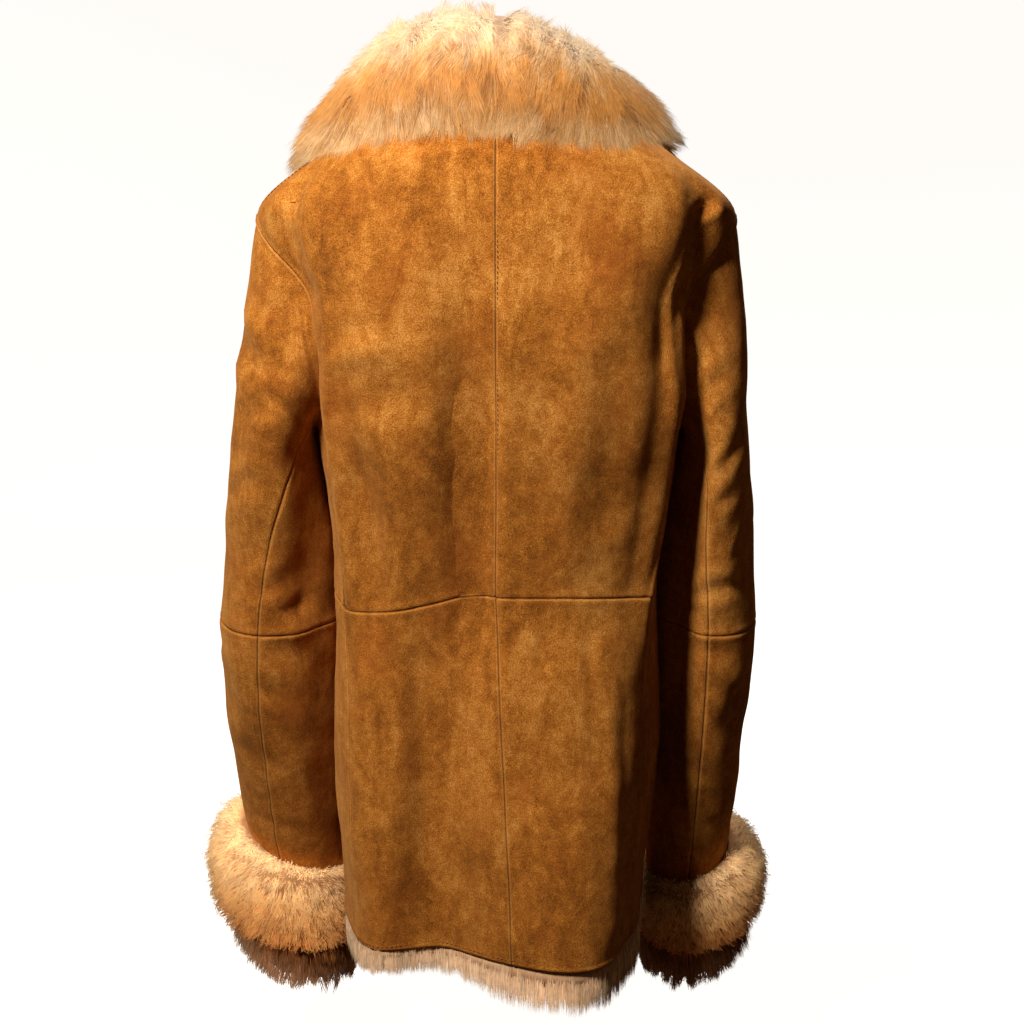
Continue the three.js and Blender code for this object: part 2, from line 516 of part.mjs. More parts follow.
for (const side of [1, -1]) {
  const centreBack = (z) => seamAt(side, z, "centreBack") + degreesFor(z, HALF_SEAM);
  upperPanel("back_upper", side, centreBack, "sideBack", BACK_TURNS);
  upperPanel("front_upper", side, (z) => seamAt(side, z, "rollLine"), "sideFront", FRONT_TURNS);
  sideUpperPanel(side);
  lowerPanels(side);
}

// Sleeves: a top and an under piece, each cut again at the elbow. Their corners start at the armhole's own turns.
const TOP_TURNS = [...FRONT_TURNS.slice(1, 7).toReversed(), ...BACK_TURNS, ...SIDE_TURNS.slice(1, 4)];
const UNDER_TURNS = [...SIDE_TURNS.slice(3), ...FRONT_TURNS.slice(6, -1).toReversed().map((turn) => turn + 360)];

function sleevePiece(name, side, alongs, armTurns, from, to) {
  const [first, last] = [armTurns[0], armTurns.at(-1)];
  const shares = armTurns.map((turn) => (turn - first) / (last - first));
  const outer = [];
  const inner = [];
  for (const along of alongs) {
    const turns = shares.map((share) => lerp(from(along), to(along), share));
    const seams = along > 0 ? [] : turns.map((turn) => armholeSeam(side, turn));
    const face = turns.map((turn, c) =>
      along > 0 ? sleevePoint(side, turn, along) : seams[c].at.addScaledVector(seams[c].toSleeve, ARMHOLE_GAP),
    );
    outer.push(face);
    inner.push(
      face.map((point, c) =>
        along > 0
          ? point.clone().addScaledVector(sleeveNormal(side, turns[c], along), -SKIN)
          : point.clone().addScaledVector(seams[c].thick, -seams[c].reach),
      ),
    );
  }
  add(`${name}_${sideName(side)}`, wall(outer, inner), SUEDE);
}

// The turn of every corner of a sleeve piece at one place along the sleeve. Above the bicep the back seam runs from
// its corner of the armhole towards its place in the table.
const SLEEVE_GAP = HALF_SEAM / (radians(1) * 50); // half a seam, in degrees of the sleeve
function sleeveSeams(side, along) {
  const tabled = rowAt(SLEEVE_SEAM[sideName(side)], "z", Math.min(BICEP_Z, BICEP_Z - (along - 1))).at;
  return {
    back: along >= 1 ? tabled : lerp(TOP_TURNS.at(-1), tabled, along),
    front: lerp(TOP_TURNS[0], SLEEVE_FRONT_SEAM, smooth(along)),
  };
}
const topEdges = (side) => [
  (along) => sleeveSeams(side, along).front + SLEEVE_GAP,
  (along) => sleeveSeams(side, along).back - SLEEVE_GAP,
];
const underEdges = (side) => [
  (along) => sleeveSeams(side, along).back + SLEEVE_GAP,
  (along) => 360 + sleeveSeams(side, along).front - SLEEVE_GAP,
];

for (const side of [1, -1]) {
  const elbow = 1 + BICEP_Z - ELBOW_Z;
  const end = 1 + BICEP_Z - SLEEVE_END_Z;
  const upper = [0, 0.08, 0.2, 0.35, 0.5, 0.75, 1, 38, 76, 114, elbow - HALF_SEAM];
  const lower = steps(7).map((t) => lerp(elbow + HALF_SEAM, end, t));
  for (const [half, alongs] of [["upper", upper], ["lower", lower]]) {
    sleevePiece(`sleeve_top_${half}`, side, alongs, TOP_TURNS, ...topEdges(side));
    sleevePiece(`sleeve_under_${half}`, side, alongs, UNDER_TURNS, ...underEdges(side));
  }
}

// Cuffs: the fur turned back over the end of the sleeve, in loops that each cut through the ring of fur at a corner
// of the sleeve.
function cuff(side) {
  const size = CUFF_SIZES[sideName(side)];
  const end = 1 + BICEP_Z - SLEEVE_END_Z;
  const shareOf = (turns) => turns.map((turn) => (turn - turns[0]) / (turns.at(-1) - turns[0]));
  const corners = [
    ...shareOf(TOP_TURNS).slice(0, -1).map((share) => ({ share, edges: topEdges(side) })),
    ...shareOf(UNDER_TURNS).slice(0, -1).map((share) => ({ share, edges: underEdges(side) })),
  ];
  const loops = corners.map(({ share, edges }) => {
    const place = (along, out) => {
      const at = end + along;
      const turn = lerp(edges[0](at), edges[1](at), share);
      return sleevePoint(side, turn, at).addScaledVector(sleeveNormal(side, turn, at), out);
    };
    const outerShare = Math.cos(radians(lerp(edges[0](end), edges[1](end), share)));
    const least = outerShare > 0 ? size.outside : size.inside;
    const thick = lerp(size.round, least, Math.abs(outerShare));
    const raise = (along) => -size.upAtOutside * (0.5 + 0.5 * outerShare) * smooth((40 - along) / 80);
    const reach = (along) => (along < 0 ? along * size.top : along);
    const outside = CUFF_PROFILE.map(({ along, out }) => place(reach(along) + raise(along), out * thick));
    const within = CUFF_LINING.map(({ along, out }) => place(reach(along) + (along < -60 ? raise(along) : 0), out));
    return [...outside, ...within];
  });
  add(`cuff_${sideName(side)}`, loft(loops, true), CUFF_FUR);
}
cuff(1);
cuff(-1);

// How far the wool hangs below the hem, in degrees round the body.
const WOOL_DROPS = [
  { at: -180, drop: 36 },
  { at: -90, drop: 38 },
  { at: -40, drop: 42 },
  { at: -5, drop: 40 },
  { at: 14, drop: 28 },
  { at: 45, drop: 26 },
  { at: 90, drop: 32 },
  { at: 180, drop: 36 },
];
const woolDrop = (angle) => rowAt(WOOL_DROPS, "at", angle).drop;

// Wool inside the hem that hangs below it. share is its distance below the edge of the suede as a share of the whole
// drop there, or of the part built up inside where it is less than 0; out is measured from the suede's outer face.
const HEM_WOOL_PROFILE = [
  { share: -1, out: -SKIN - 3 * SEAM },
  { share: 0.015, out: -SKIN - 2 * SEAM },
  { share: 0.025, out: -0.6 },
  { share: 0.4, out: 0.5 },
  { share: 0.8, out: -1.5 },
  { share: 1, out: -7 },
  { share: 0.72, out: -SKIN - WOOL_DEPTH },
  { share: 0, out: -SKIN - WOOL_DEPTH - 1 },
  { share: -1, out: -SKIN - WOOL_DEPTH + 3 },
];
function hemWool(side) {
  const seams = ["centreBack", "sideBack", "sideFront", "rollLine"];
  const columns = Object.values(SKIRT_COLUMNS);
  // the corners of the three panels, up to the last but one at the front edge
  const angles = (z) =>
    columns.flatMap((count, panel) => {
      const [from, to] = [seamAt(side, z, seams[panel]), seamAt(side, z, seams[panel + 1])];
      return steps(count).slice(0, -1).map((t) => lerp(from, to, t));
    });
  const middleGap = degreesFor(HEM_Z, HALF_SEAM);
  const loops = angles(HEM_Z).map((_, i) =>
    HEM_WOOL_PROFILE.map((row) => {
      const lock = row.share > 0.5 ? 1 + 0.06 * Math.sin(3.4 * i) : 1;
      const whole = row.share > 0 ? woolDrop(side * angles(HEM_Z)[i]) : WOOL_RISE;
      const z = HEM_Z - row.share * lock * whole;
      return bodyOffset(side * (angles(z)[i] + (i === 0 ? middleGap : 0)), z, row.out);
    }),
  );
  add(`hem_wool_${sideName(side)}`, loft(loops, false), WOOL);
}
hemWool(1);
hemWool(-1);

// Wool at a front edge, from the lapel down to the bottom of the hem's wool. past is the distance beyond the edge;
// where it is less than 0 the wool starts at the front panel's last row of corners before the edge.
const EDGE_WOOL_PROFILE = [
  { past: -1, out: -SKIN - 2 * SEAM },
  { past: 0.5, out: -SKIN - 2 * SEAM },
  { past: 0.9, out: -0.5 },
  { past: 0.6 * EDGE_WOOL, out: 1 },
  { past: EDGE_WOOL, out: -4 },
  { past: 0.8 * EDGE_WOOL, out: -SKIN - 0.6 * WOOL_DEPTH },
  { past: 0, out: -SKIN - WOOL_DEPTH },
  { past: -1, out: -SKIN - WOOL_DEPTH + 3 },
];
const EDGE_WOOL_TOP = 22; // how far below the break the wool of the edge starts
const EDGE_WOOL_HANG = 0.86; // how far it hangs below the hem, as a share of the hem's own wool
function edgeWool(side) {
  const count = SKIRT_COLUMNS.front;
  const angleAt = (z, past) => {
    const edge = seamAt(side, z, "rollLine");
    if (past >= 0) return edge + degreesFor(z, past * 0.8);
    return lerp(seamAt(side, z, "sideFront"), edge, (count - 1) / count) + degreesFor(z, SEAM);
  };
  const heights = [...SKIRT_HEIGHTS, ...upperHeights(FRONT_TURNS).slice(1, 3), BREAK_Z - EDGE_WOOL_TOP];
  const cut = (z, drop) =>
    EDGE_WOOL_PROFILE.map((row) => bodyOffset(side * angleAt(z, row.past), z - drop, drop ? row.out - 2 : row.out));
  const lowest = cut(HEM_Z, EDGE_WOOL_HANG * woolDrop(175));
  add(`edge_wool_${sideName(side)}`, loft([lowest, ...heights.map((z) => cut(z, 0))], false), WOOL);
}
edgeWool(1);
edgeWool(-1);

// The collar and lapels: rounded sections through the stations, cut to lie on the body with a small clearance.
const STATION_KEYS = COLLAR_STATIONS.map((row, i) => ({ ...row, i }));
const station = (i) => rowAt(STATION_KEYS, "i", i);
const stationPoint = (row) => new THREE.Vector3(row.x, row.y, row.z);

function collarLoop(i, sides = 18) {
  const row = station(i);
  const middle = stationPoint(row);
  const path = stationPoint(station(i + 0.05)).sub(stationPoint(station(i - 0.05))).normalize();
  const across = new THREE.Vector3(row.ax, row.ay, row.az);
  across.addScaledVector(path, -across.dot(path)).normalize();
  const up = new THREE.Vector3().crossVectors(path, across).normalize();
  return steps(sides).slice(0, -1).map((t) => {
    const [c, s] = [Math.cos(2 * Math.PI * t), Math.sin(2 * Math.PI * t)];
    const blunt = 1 / (Math.abs(c) ** FUR_BLUNT + Math.abs(s) ** FUR_BLUNT) ** (1 / FUR_BLUNT);
    const thick = row.thick * (1 - FUR_TAPER * c);
    return middle.clone().addScaledVector(across, row.half * blunt * c).addScaledVector(up, thick * blunt * s);
  });
}

function solidOf(geometry) {
  return new wasm.Manifold(
    new wasm.Mesh({
      numProp: 3,
      vertProperties: new Float32Array(geometry.attributes.position.array),
      triVerts: new Uint32Array(geometry.index.array),
    }),
  );
}
function geometryOf(solid) {
  const mesh = solid.getMesh();
  const geometry = new THREE.BufferGeometry();
  geometry.setAttribute("position", new THREE.BufferAttribute(new Float32Array(mesh.vertProperties), mesh.numProp));
  geometry.setIndex(new THREE.BufferAttribute(new Uint32Array(mesh.triVerts), 1));
  return geometry;
}

// The room that the suede takes, a little grown, which the fur of the collar is cut clear of.
function bodyRoom() {
  const heights = [-400, -340, -280, -230, -190, -150, -128, -114, -100, -78, -60, -44, -26, NECK_Z + 2];
  const loops = heights.map((z) =>
    steps(56).slice(0, -1).map((t) => bodyOffset(360 * t, z, Math.min(1.2, 0.4 + Math.abs(z) / 100))),
  );
  return solidOf(loft(loops, false));
}

function furPiece(name, from, to, count, room) {
  const loops = steps(count).map((t) => collarLoop(lerp(from, to, t)));
  const cut = solidOf(loft(loops, false)).subtract(room);
  const largest = cut.decompose().sort((a, b) => b.volume() - a.volume())[0];
  add(name, geometryOf(largest), COLLAR_FUR);
}

const LAST = COLLAR_STATIONS.length - 1;
const NOTCH_GAP = 0.012; // in stations
const room = bodyRoom();
furPiece("lapel_left", 0, NOTCH - NOTCH_GAP, 12, room);
furPiece("collar", NOTCH, LAST - NOTCH, 26, room);
furPiece("lapel_right", LAST - NOTCH + NOTCH_GAP, LAST, 12, room);

export default coat;
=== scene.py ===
import math

import bpy
import numpy as np
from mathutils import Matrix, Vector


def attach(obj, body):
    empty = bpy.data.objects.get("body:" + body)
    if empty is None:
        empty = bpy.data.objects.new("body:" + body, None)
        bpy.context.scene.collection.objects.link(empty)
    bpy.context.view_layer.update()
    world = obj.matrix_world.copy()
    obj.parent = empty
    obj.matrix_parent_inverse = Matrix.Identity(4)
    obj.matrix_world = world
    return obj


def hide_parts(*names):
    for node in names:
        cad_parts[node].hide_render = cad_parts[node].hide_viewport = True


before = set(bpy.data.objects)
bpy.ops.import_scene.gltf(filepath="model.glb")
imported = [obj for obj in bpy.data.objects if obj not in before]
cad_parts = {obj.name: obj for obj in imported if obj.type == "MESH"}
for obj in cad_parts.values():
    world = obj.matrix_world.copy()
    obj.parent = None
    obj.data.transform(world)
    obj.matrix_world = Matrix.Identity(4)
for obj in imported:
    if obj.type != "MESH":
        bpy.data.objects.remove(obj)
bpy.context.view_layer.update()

# Body of the coat.
# Twelve panels of sheepskin, suede side out, sewn edge to edge: upper and lower backs, sides and fronts. The wall is
# the skin with its clipped wool. Every length in this section is in millimetres, and angles are in degrees round the
# body from the centre back, + to the wearer's left.
SKIN = 5.0
HALF_SEAM = -0.1
WAIST_Z, HEM_Z, SHOULDER_Z, UNDERARM_Z, NECK_Z, BREAK_Z = -445.0, -757.0, -114.0, -300.0, -8.0, -345.0
ARMHOLE_BACK, ARMHOLE_FRONT = {1: 30.0, -1: 24.0}, 32.0
SHOULDER_BACK, SHOULDER_BLEND = {1: 15.0, -1: 0.0}, 60.0
BACK_MEETS, FRONT_MEETS = 128.0, 124.0

RING = ("z", "half", "back", "front", "square", "back_lift", "front_lift")
BODY_RINGS = [
    (-830, 149, 119, 152, 0.05, 0, 0),
    (-757, 147, 118, 150, 0.05, 0, 0),
    (-640, 148, 115, 146, 0.05, 4, 2),
    (-540, 147, 109, 140, 0.05, 10, 4),
    (-445, 145, 103, 134, 0.05, 9, 3),
    (-360, 152, 110, 138, 0.05, 12, 5),
    (-280, 161, 120, 142, 0.06, 8, 2),
    (-190, 171, 124, 134, 0.06, 12, -2),
    (-114, 208, 110, 112, 0.05, 30, -12),
    (-60, 148, 86, 88, 0.03, 26, -34),
    (-8, 78, 56, 62, 0.02, 8, -62),
]

# name, where it is round the body, its spread to each side, where it starts, is deepest from and to, ends, its depth
BODY_FOLDS = [
    ("hollow left of centre", 20, 24, -330, -620, -830, -900, -28),
    ("swing of the back hem", -21, 27, -470, -757, -830, -900, 30),
    ("left edge of the hem", 72, 38, -580, -757, -830, -900, -9),
    ("right edge of the hem", -80, 44, -580, -757, -830, -900, -15),
    ("dip at centre back", 3, 14, -110, -300, -430, -560, -7),
    ("left shoulder blade", 30, 22, -90, -200, -260, -400, 7),
    ("right shoulder blade", -30, 22, -90, -210, -280, -430, 7),
    ("fullness at the right", -72, 50, -200, -270, -330, -430, 6),
    ("left back tuck, top", 51, 11, -72, -104, -122, -172, -7),
    ("left back tuck", 57, 11, -112, -150, -168, -222, -8.5),
    ("left back tuck, foot", 67, 14, -162, -236, -300, -390, -7),
    ("right back tuck, top", -51, 11, -84, -116, -132, -176, -10),
    ("right back tuck", -58, 11, -114, -152, -170, -222, -13),
    ("right back tuck, foot", -73, 14, -158, -232, -304, -430, -14),
    ("edge of the left back", 52, 13, -140, -215, -380, -480, 6),
    ("edge of the right back", -58, 13, -110, -200, -410, -530, 9),
    ("left front tuck", 122, 15, -90, -160, -280, -360, -8),
    ("right front tuck", -122, 15, -90, -160, -280, -360, -9),
    ("left front hem wave", 142, 18, -470, -757, -830, -900, 10),
    ("right front hem wave", -140, 18, -470, -757, -830, -900, 9),
    ("left front hollow", 162, 12, -480, -757, -830, -900, -7),
    ("right front hollow", -163, 12, -480, -757, -830, -900, -6),
]
BODY_LIFTS = [
    ("waist dips at the left", 42, 42, -330, -445, -446, -560, -13),
    ("hem rises at the right", -80, 60, -600, -757, -830, -900, 14),
]

SEAM_LINE = ("z", "centre_back", "side_back", "side_front", "roll_line")
BODY_SEAMS = [
    (-800, -4, 55, 116, 175),
    (-757, -4, 55, 116, 175),
    (-600, -2, 56, 116, 175),
    (-445, 0, 58, 117, 175),
    (-370, 0, 61, 117, 175),
    (-345, 0, 62, 117, 175),
    (-280, 0, 66, 116, 166),
    (-114, 0, 66, 116, 140),
    (-8, 0, 66, 116, 118),
]

# name, one end (round, z), the other end (round, z), its half width, its depth, how far its middle bows up
BODY_CREASES = [
    ("dent above the left armhole", 50, -84, 50, -118, 10, -5.0, 0),
    ("edge of the left back by the armhole", 47, -104, 54, -330, 5, 1.6, -6),
    ("drag from the left armhole", 52, -240, 24, -222, 10, 2.2, -5),
    ("soft break under it", 50, -262, 12, -256, 17, -2.6, 5),
    ("short crease high on the left", 27, -104, 29, -138, 3, -1.0, 0),
    ("hollow down the left back", 43, -262, 42, -500, 16, -5.0, 0),
    ("ridge down the left back", 25, -262, 27, -500, 17, 4.2, 0),
    ("hollow beside the centre seam", 5, -128, 9, -600, 15, -7.5, 0),
    ("lip of the right back at the centre seam", -2, -150, -2, -500, 5, 2.2, 0),
    ("left waist pucker", 46, -462, 44, -510, 6, -1.6, 0),
    ("second left waist pucker", 34, -464, 32, -500, 5, -1.2, 0),
    ("third left waist pucker", 19, -466, 18, -520, 7, -1.4, 0),
    ("left skirt fall", 40, -470, 43, -700, 11, -2.6, 0),
    ("left skirt ridge", 31, -500, 33, -740, 12, 2.8, 0),
    ("second left skirt fall", 27, -470, 24, -640, 8, -1.6, 0),
    ("drag from the right armhole", -52, -215, -22, -140, 12, -1.8, 8),
    ("pull from the right shoulder", -60, -96, -47, -120, 6, -4.0, 0),
    ("edge of the right back by the armhole", -48, -112, -60, -340, 5, 2.0, 6),
    ("right back fall", -30, -170, -33, -430, 15, -2.8, 0),
    ("right back ridge", -17, -200, -20, -430, 14, 2.2, 0),
    ("right waist pucker", -14, -462, -13, -506, 5, -1.2, 0),
    ("second right waist pucker", -28, -464, -28, -516, 6, -1.4, 0),
    ("turn of the right skirt", -36, -480, -33, -745, 10, 2.4, 0),
    ("right skirt beyond the turn", -66, -462, -66, -752, 38, -8.5, 0),
    ("fall by the centre hem", -3, -560, -8, -750, 10, -1.8, 0),
    ("left side pull", 78, -330, 84, -440, 9, -1.5, 0),
    ("right side pull", -80, -330, -86, -440, 9, -1.5, 0),
    ("left side fall", 88, -500, 92, -740, 12, -2.0, 0),
    ("right side fall", -86, -480, -90, -745, 12, -2.0, 0),
    ("left chest drag", 122, -230, 146, -170, 12, -1.8, -6),
    ("right chest drag", -120, -225, -148, -175, 12, -1.7, -6),
    ("left front fall", 134, -300, 136, -430, 10, -2.0, 0),
    ("right front fall", -131, -290, -136, -430, 11, -1.9, 0),
    ("left front pucker", 150, -462, 151, -520, 6, -1.6, 0),
    ("right front pucker", -146, -462, -148, -510, 6, -1.6, 0),
    ("left front skirt", 128, -500, 126, -740, 12, -2.6, 0),
    ("right front skirt", -127, -520, -124, -740, 11, -2.4, 0),
]


def radians(degrees):
    return np.asarray(degrees, float) * math.pi / 180


def blend(a, b, share):
    return a + (b - a) * share


def smooth(share):
    share = np.clip(share, 0, 1)
    return share * share * (3 - 2 * share)


def curve_through(rows, columns, name, at):
    """One column of a table at any value of its first column, by a cubic through the rows."""
    keys = np.array([row[0] for row in rows], float)
    values = np.array([row[columns.index(name)] for row in rows], float)
    if keys[0] > keys[-1]:
        keys, values = keys[::-1], values[::-1]
    slopes = np.empty_like(values)
    slopes[1:-1] = (values[2:] - values[:-2]) / (keys[2:] - keys[:-2])
    slopes[0] = (values[1] - values[0]) / (keys[1] - keys[0])
    slopes[-1] = (values[-1] - values[-2]) / (keys[-1] - keys[-2])
    at = np.asarray(at, float)
    i = np.clip(np.searchsorted(keys, at, side="right") - 1, 0, len(keys) - 2)
    span = keys[i + 1] - keys[i]
    t = (at - keys[i]) / span
    return (
        (2 * t**3 - 3 * t**2 + 1) * values[i]
        + (t**3 - 2 * t**2 + t) * span * slopes[i]
        + (3 * t**2 - 2 * t**3) * values[i + 1]
        + (t**3 - t**2) * span * slopes[i + 1]
    )


def degrees_apart(a, b):
    return (a - b + 180) % 360 - 180


def fold_depth(folds, angle, z):
    """How far a table of folds moves a surface out at an angle and a height."""
    depth = np.zeros(np.broadcast(angle, z).shape)
    for _, at, spread, top, deep, low, end, size in folds:
        off = np.abs(degrees_apart(angle, at))
        across = np.where(off < spread, 0.5 + 0.5 * np.cos(math.pi * off / spread), 0)
        down = smooth((top - z) / (top - deep)) * (1 - smooth((low - z) / (low - end)))
        depth = depth + size * across * down
    return depth


def crease_depth(creases, angle, z, mm_per_degree):
    """The same for small creases: each runs between two points and has a low bank on either side."""
    depth = np.zeros(np.broadcast(angle, z).shape)
    for _, angle_a, z_a, angle_b, z_b, width, size, bow in creases:
        run_x, run_z = degrees_apart(angle_b, angle_a) * mm_per_degree, z_b - z_a
        length = math.hypot(run_x, run_z)
        x, y = degrees_apart(angle, angle_a) * mm_per_degree, z - z_a
        share = (x * run_x + y * run_z) / length**2
        off = (x * run_z - y * run_x) / length + bow * 4 * share * (1 - share)
        taper = np.where((share > 0) & (share < 1), np.sin(math.pi * np.clip(share, 0, 1)) ** 0.8, 0)
        reach = np.abs(off) / width
        depth = depth + size * taper * (np.exp(-(reach**2)) - 0.4 * np.exp(-(((reach - 1.9) / 0.8) ** 2)))
    return depth


def undulation(points, seed, wavelength, amount):
    """Slow unevenness of hand-stretched skin: a few plane waves in fixed random directions."""
    random = np.random.default_rng(seed)
    total = np.zeros(points.shape[:-1])
    for _ in range(9):
        direction = random.normal(size=3)
        direction *= 2 * math.pi / (np.linalg.norm(direction) * wavelength * random.uniform(0.7, 1.5))
        total = total + np.sin(points @ direction + random.uniform(0, 2 * math.pi))
    return amount * total / 3


def body_point(angle, z):
    angle, z = np.broadcast_arrays(np.asarray(angle, float), np.asarray(z, float))
    a = radians(angle)
    half, square = (curve_through(BODY_RINGS, RING, name, z) for name in ("half", "square"))
    at_back = np.cos(a) > 0
    depth, lift = (
        np.where(at_back, curve_through(BODY_RINGS, RING, b, z), curve_through(BODY_RINGS, RING, f, z))
        for b, f in (("back", "front"), ("back_lift", "front_lift"))
    )
    x = half * (np.sin(a) + square * np.sin(3 * a)) / (1 - square)
    y = depth * (np.cos(a) - square * np.cos(3 * a)) / (1 - square)
    out_x, out_y = x / half**2, y / depth**2
    length = np.hypot(out_x, out_y)
    fold = fold_depth(BODY_FOLDS, angle, z)
    height = z + lift * np.cos(a) ** 2 + fold_depth(BODY_LIFTS, angle, z)
    return np.stack([x + out_x / length * fold, y + out_y / length * fold, height], -1)


def unit(vectors):
    return vectors / np.maximum(np.linalg.norm(vectors, axis=-1, keepdims=True), 1e-9)


def body_normal(angle, z):
    angle, z = np.asarray(angle, float), np.asarray(z, float)
    across = body_point(angle + 0.4, z) - body_point(angle - 0.4, z)
    along = body_point(angle, z + 1) - body_point(angle, z - 1)
    return -unit(np.cross(across, along))


def body_offset(angle, z, out):
    return body_point(angle, z) + body_normal(angle, z) * np.asarray(out, float)[..., None]


def armhole(side, turn):
    """Angle and height of the armhole on the body. turn is 0 at the shoulder, 90 at the back, 180 under the arm."""
    middle, reach = (SHOULDER_Z + UNDERARM_Z) / 2, (SHOULDER_Z - UNDERARM_Z) / 2
    spread = np.where(np.sin(radians(turn)) > 0, ARMHOLE_BACK[side], ARMHOLE_FRONT)
    return side * (90 - spread * np.sin(radians(turn))), middle + reach * np.cos(radians(turn))


def seam_angle(z, column):
    return curve_through(BODY_SEAMS, SEAM_LINE, column, z)


def degrees_for(z, distance):
    return distance / (math.pi / 180 * curve_through(BODY_RINGS, RING, "half", z) * 0.9)


def close_to_ends(count, fine=(0.004, 0.01, 0.02, 0.033, 0.05, 0.07)):
    """Shares from 0 to 1, much closer together at both ends, where the seams are."""
    fine = np.array(fine)
    middle = np.linspace(fine[-1], 1 - fine[-1], count)
    return np.concatenate([[0], fine[:-1], middle, 1 - fine[:-1][::-1], [1]])


def mesh_object(name, points, faces, attributes=None):
    """A mesh object from points in millimetres. It sits at the origin, and its faces point out."""
    corners = points[faces]
    volume = np.einsum("ij,ij->i", corners[:, 0], np.cross(corners[:, 1], corners[:, 2])).sum()
    if faces.shape[1] == 4:
        volume += np.einsum("ij,ij->i", corners[:, 0], np.cross(corners[:, 2], corners[:, 3])).sum()
    if volume < 0:
        faces = faces[:, ::-1]
    mesh = bpy.data.meshes.new(name)
    mesh.vertices.add(len(points))
    mesh.vertices.foreach_set("co", (points / 1000).astype(np.float32).ravel())
    mesh.loops.add(faces.size)
    mesh.loops.foreach_set("vertex_index", faces.astype(np.int32).ravel())
    mesh.polygons.add(len(faces))
    mesh.polygons.foreach_set("loop_start", np.arange(0, faces.size, faces.shape[1], dtype=np.int32))
    mesh.update(calc_edges=True)
    mesh.polygons.foreach_set("use_smooth", np.ones(len(faces), bool))
    for key, values in (attributes or {}).items():
        mesh.attributes.new(key, "FLOAT", "POINT").data.foreach_set("value", values.astype(np.float32).ravel())
    made = bpy.data.objects.new(name, mesh)
    bpy.context.scene.collection.objects.link(made)
    return made


def wall(name, outer, inner, attributes=None):
    """A closed wall between two grids of points."""
    rows, columns = outer.shape[:2]
    index = np.arange(rows * columns * 2).reshape(2, rows, columns)

    def strip(a, b):
        return np.stack([a[:-1], a[1:], b[1:], b[:-1]], -1)

    faces = [
        np.stack([index[0, :-1, :-1], index[0, :-1, 1:], index[0, 1:, 1:], index[0, 1:, :-1]], -1).reshape(-1, 4),
        np.stack([index[1, :-1, :-1], index[1, 1:, :-1], index[1, 1:, 1:], index[1, :-1, 1:]], -1).reshape(-1, 4),
        strip(index[0, :, 0], index[1, :, 0]),
        strip(index[1, :, -1], index[0, :, -1]),
        strip(index[1, 0], index[0, 0]),
        strip(index[0, -1], index[1, -1]),
    ]
    points = np.concatenate([outer.reshape(-1, 3), inner.reshape(-1, 3)])
    doubled = {key: np.concatenate([values.ravel(), values.ravel()]) for key, values in (attributes or {}).items()}
    return mesh_object(name, points, np.concatenate(faces), doubled)


# How a skin swells beside a seam: name, distance from it, half width, height. The armhole has a raised welt.
SEAM_SHAPES = {
    "plain": [(0.0, 0.8, -0.9), (3.5, 2.8, 0.5)],
    "welt": [(0.0, 0.8, -1.3), (2.0, 1.4, 1.1), (6.5, 3.0, -0.6)],
    "hem": [(0.0, 1.6, -1.0), (5.0, 1.0, -0.6), (2.5, 1.8, 0.7)],
}


def seam_shape(distance, kind):
    height = np.zeros_like(distance)
    for at, width, size in SEAM_SHAPES.get(kind, ()):
        height = height + size * np.exp(-(((distance - at) / width) ** 2))
    return height


def run_along(points, axis):
    """Distance run along a grid of points, from its first row or column."""
    steps = np.linalg.norm(np.diff(points, axis=axis), axis=-1)
    pad = [(0, 0), (0, 0)]
    pad[axis] = (1, 0)
    return np.pad(np.cumsum(steps, axis=axis), pad)


pieces_made = {}
# in millimetres: how far from the armhole creases fade, and how far the head of a sleeve runs on under its edge
WELT_CALM, SLEEVE_HEAD_TUCK = 8.0, 2.0


def suede_piece(name, points, normals, angle, creases, mm_per_degree, seams):
    """A piece of skin on the form, with its seams, creases and unevenness worked into the suede side."""
    across, down = run_along(points, 1), run_along(points, 0)
    distances = {
        "first_column": across,
        "last_column": across[:, -1:] - across,
        "first_row": down,
        "last_row": down[-1:] - down,
    }
    height = crease_depth(creases, angle, points[..., 2], mm_per_degree)
    height = height + undulation(points, 11, 95, 0.9) + undulation(points, 12, 34, 0.28)
    nearest = np.full(height.shape, 60.0)
    edge_fade = np.ones(height.shape)
    for edge, kind in seams.items():
        # creases run on through a seam, but not through the armhole
        if kind == "welt":
            edge_fade = edge_fade * smooth(distances[edge] / WELT_CALM)
        nearest = np.minimum(nearest, distances[edge])
    height = height * edge_fade
    for edge, kind in seams.items():
        height = height + seam_shape(distances[edge], kind)
    if seams.get("first_row") == "welt":
        # the head of a sleeve runs on a little under the edge of the armhole
        onward = points[0] - points[1]
        points = points.copy()
        points[0] += SLEEVE_HEAD_TUCK * onward / np.linalg.norm(onward, axis=-1, keepdims=True)
    made = wall(name, points + normals * height[..., None], points - normals * SKIN, {"seam": nearest})
    area = float((np.linalg.norm(np.cross(
        points[1:, :-1] - points[:-1, :-1], points[:-1, 1:] - points[:-1, :-1]), axis=-1)).sum()) * 1e-6
    width = float(across[:, -1].max()) * 1e-3
    length = float(down[-1].max()) * 1e-3
    pieces_made[name] = (made, (max(width, area / length), length), area)
    return made


def body_panel(name, side, angle, z, seams):
    points = body_point(side * angle, z)
    normals = body_normal(side * angle, z)
    return suede_piece(f"{name}_{SIDES[side]}", points, normals, side * angle, BODY_CREASES, 2.6, seams)


SIDES = {1: "left", -1: "right"}
FINE_ROWS = np.array([0.0, 0.7, 1.5, 2.7, 4.2, 6.0, 8.5, 12.0])


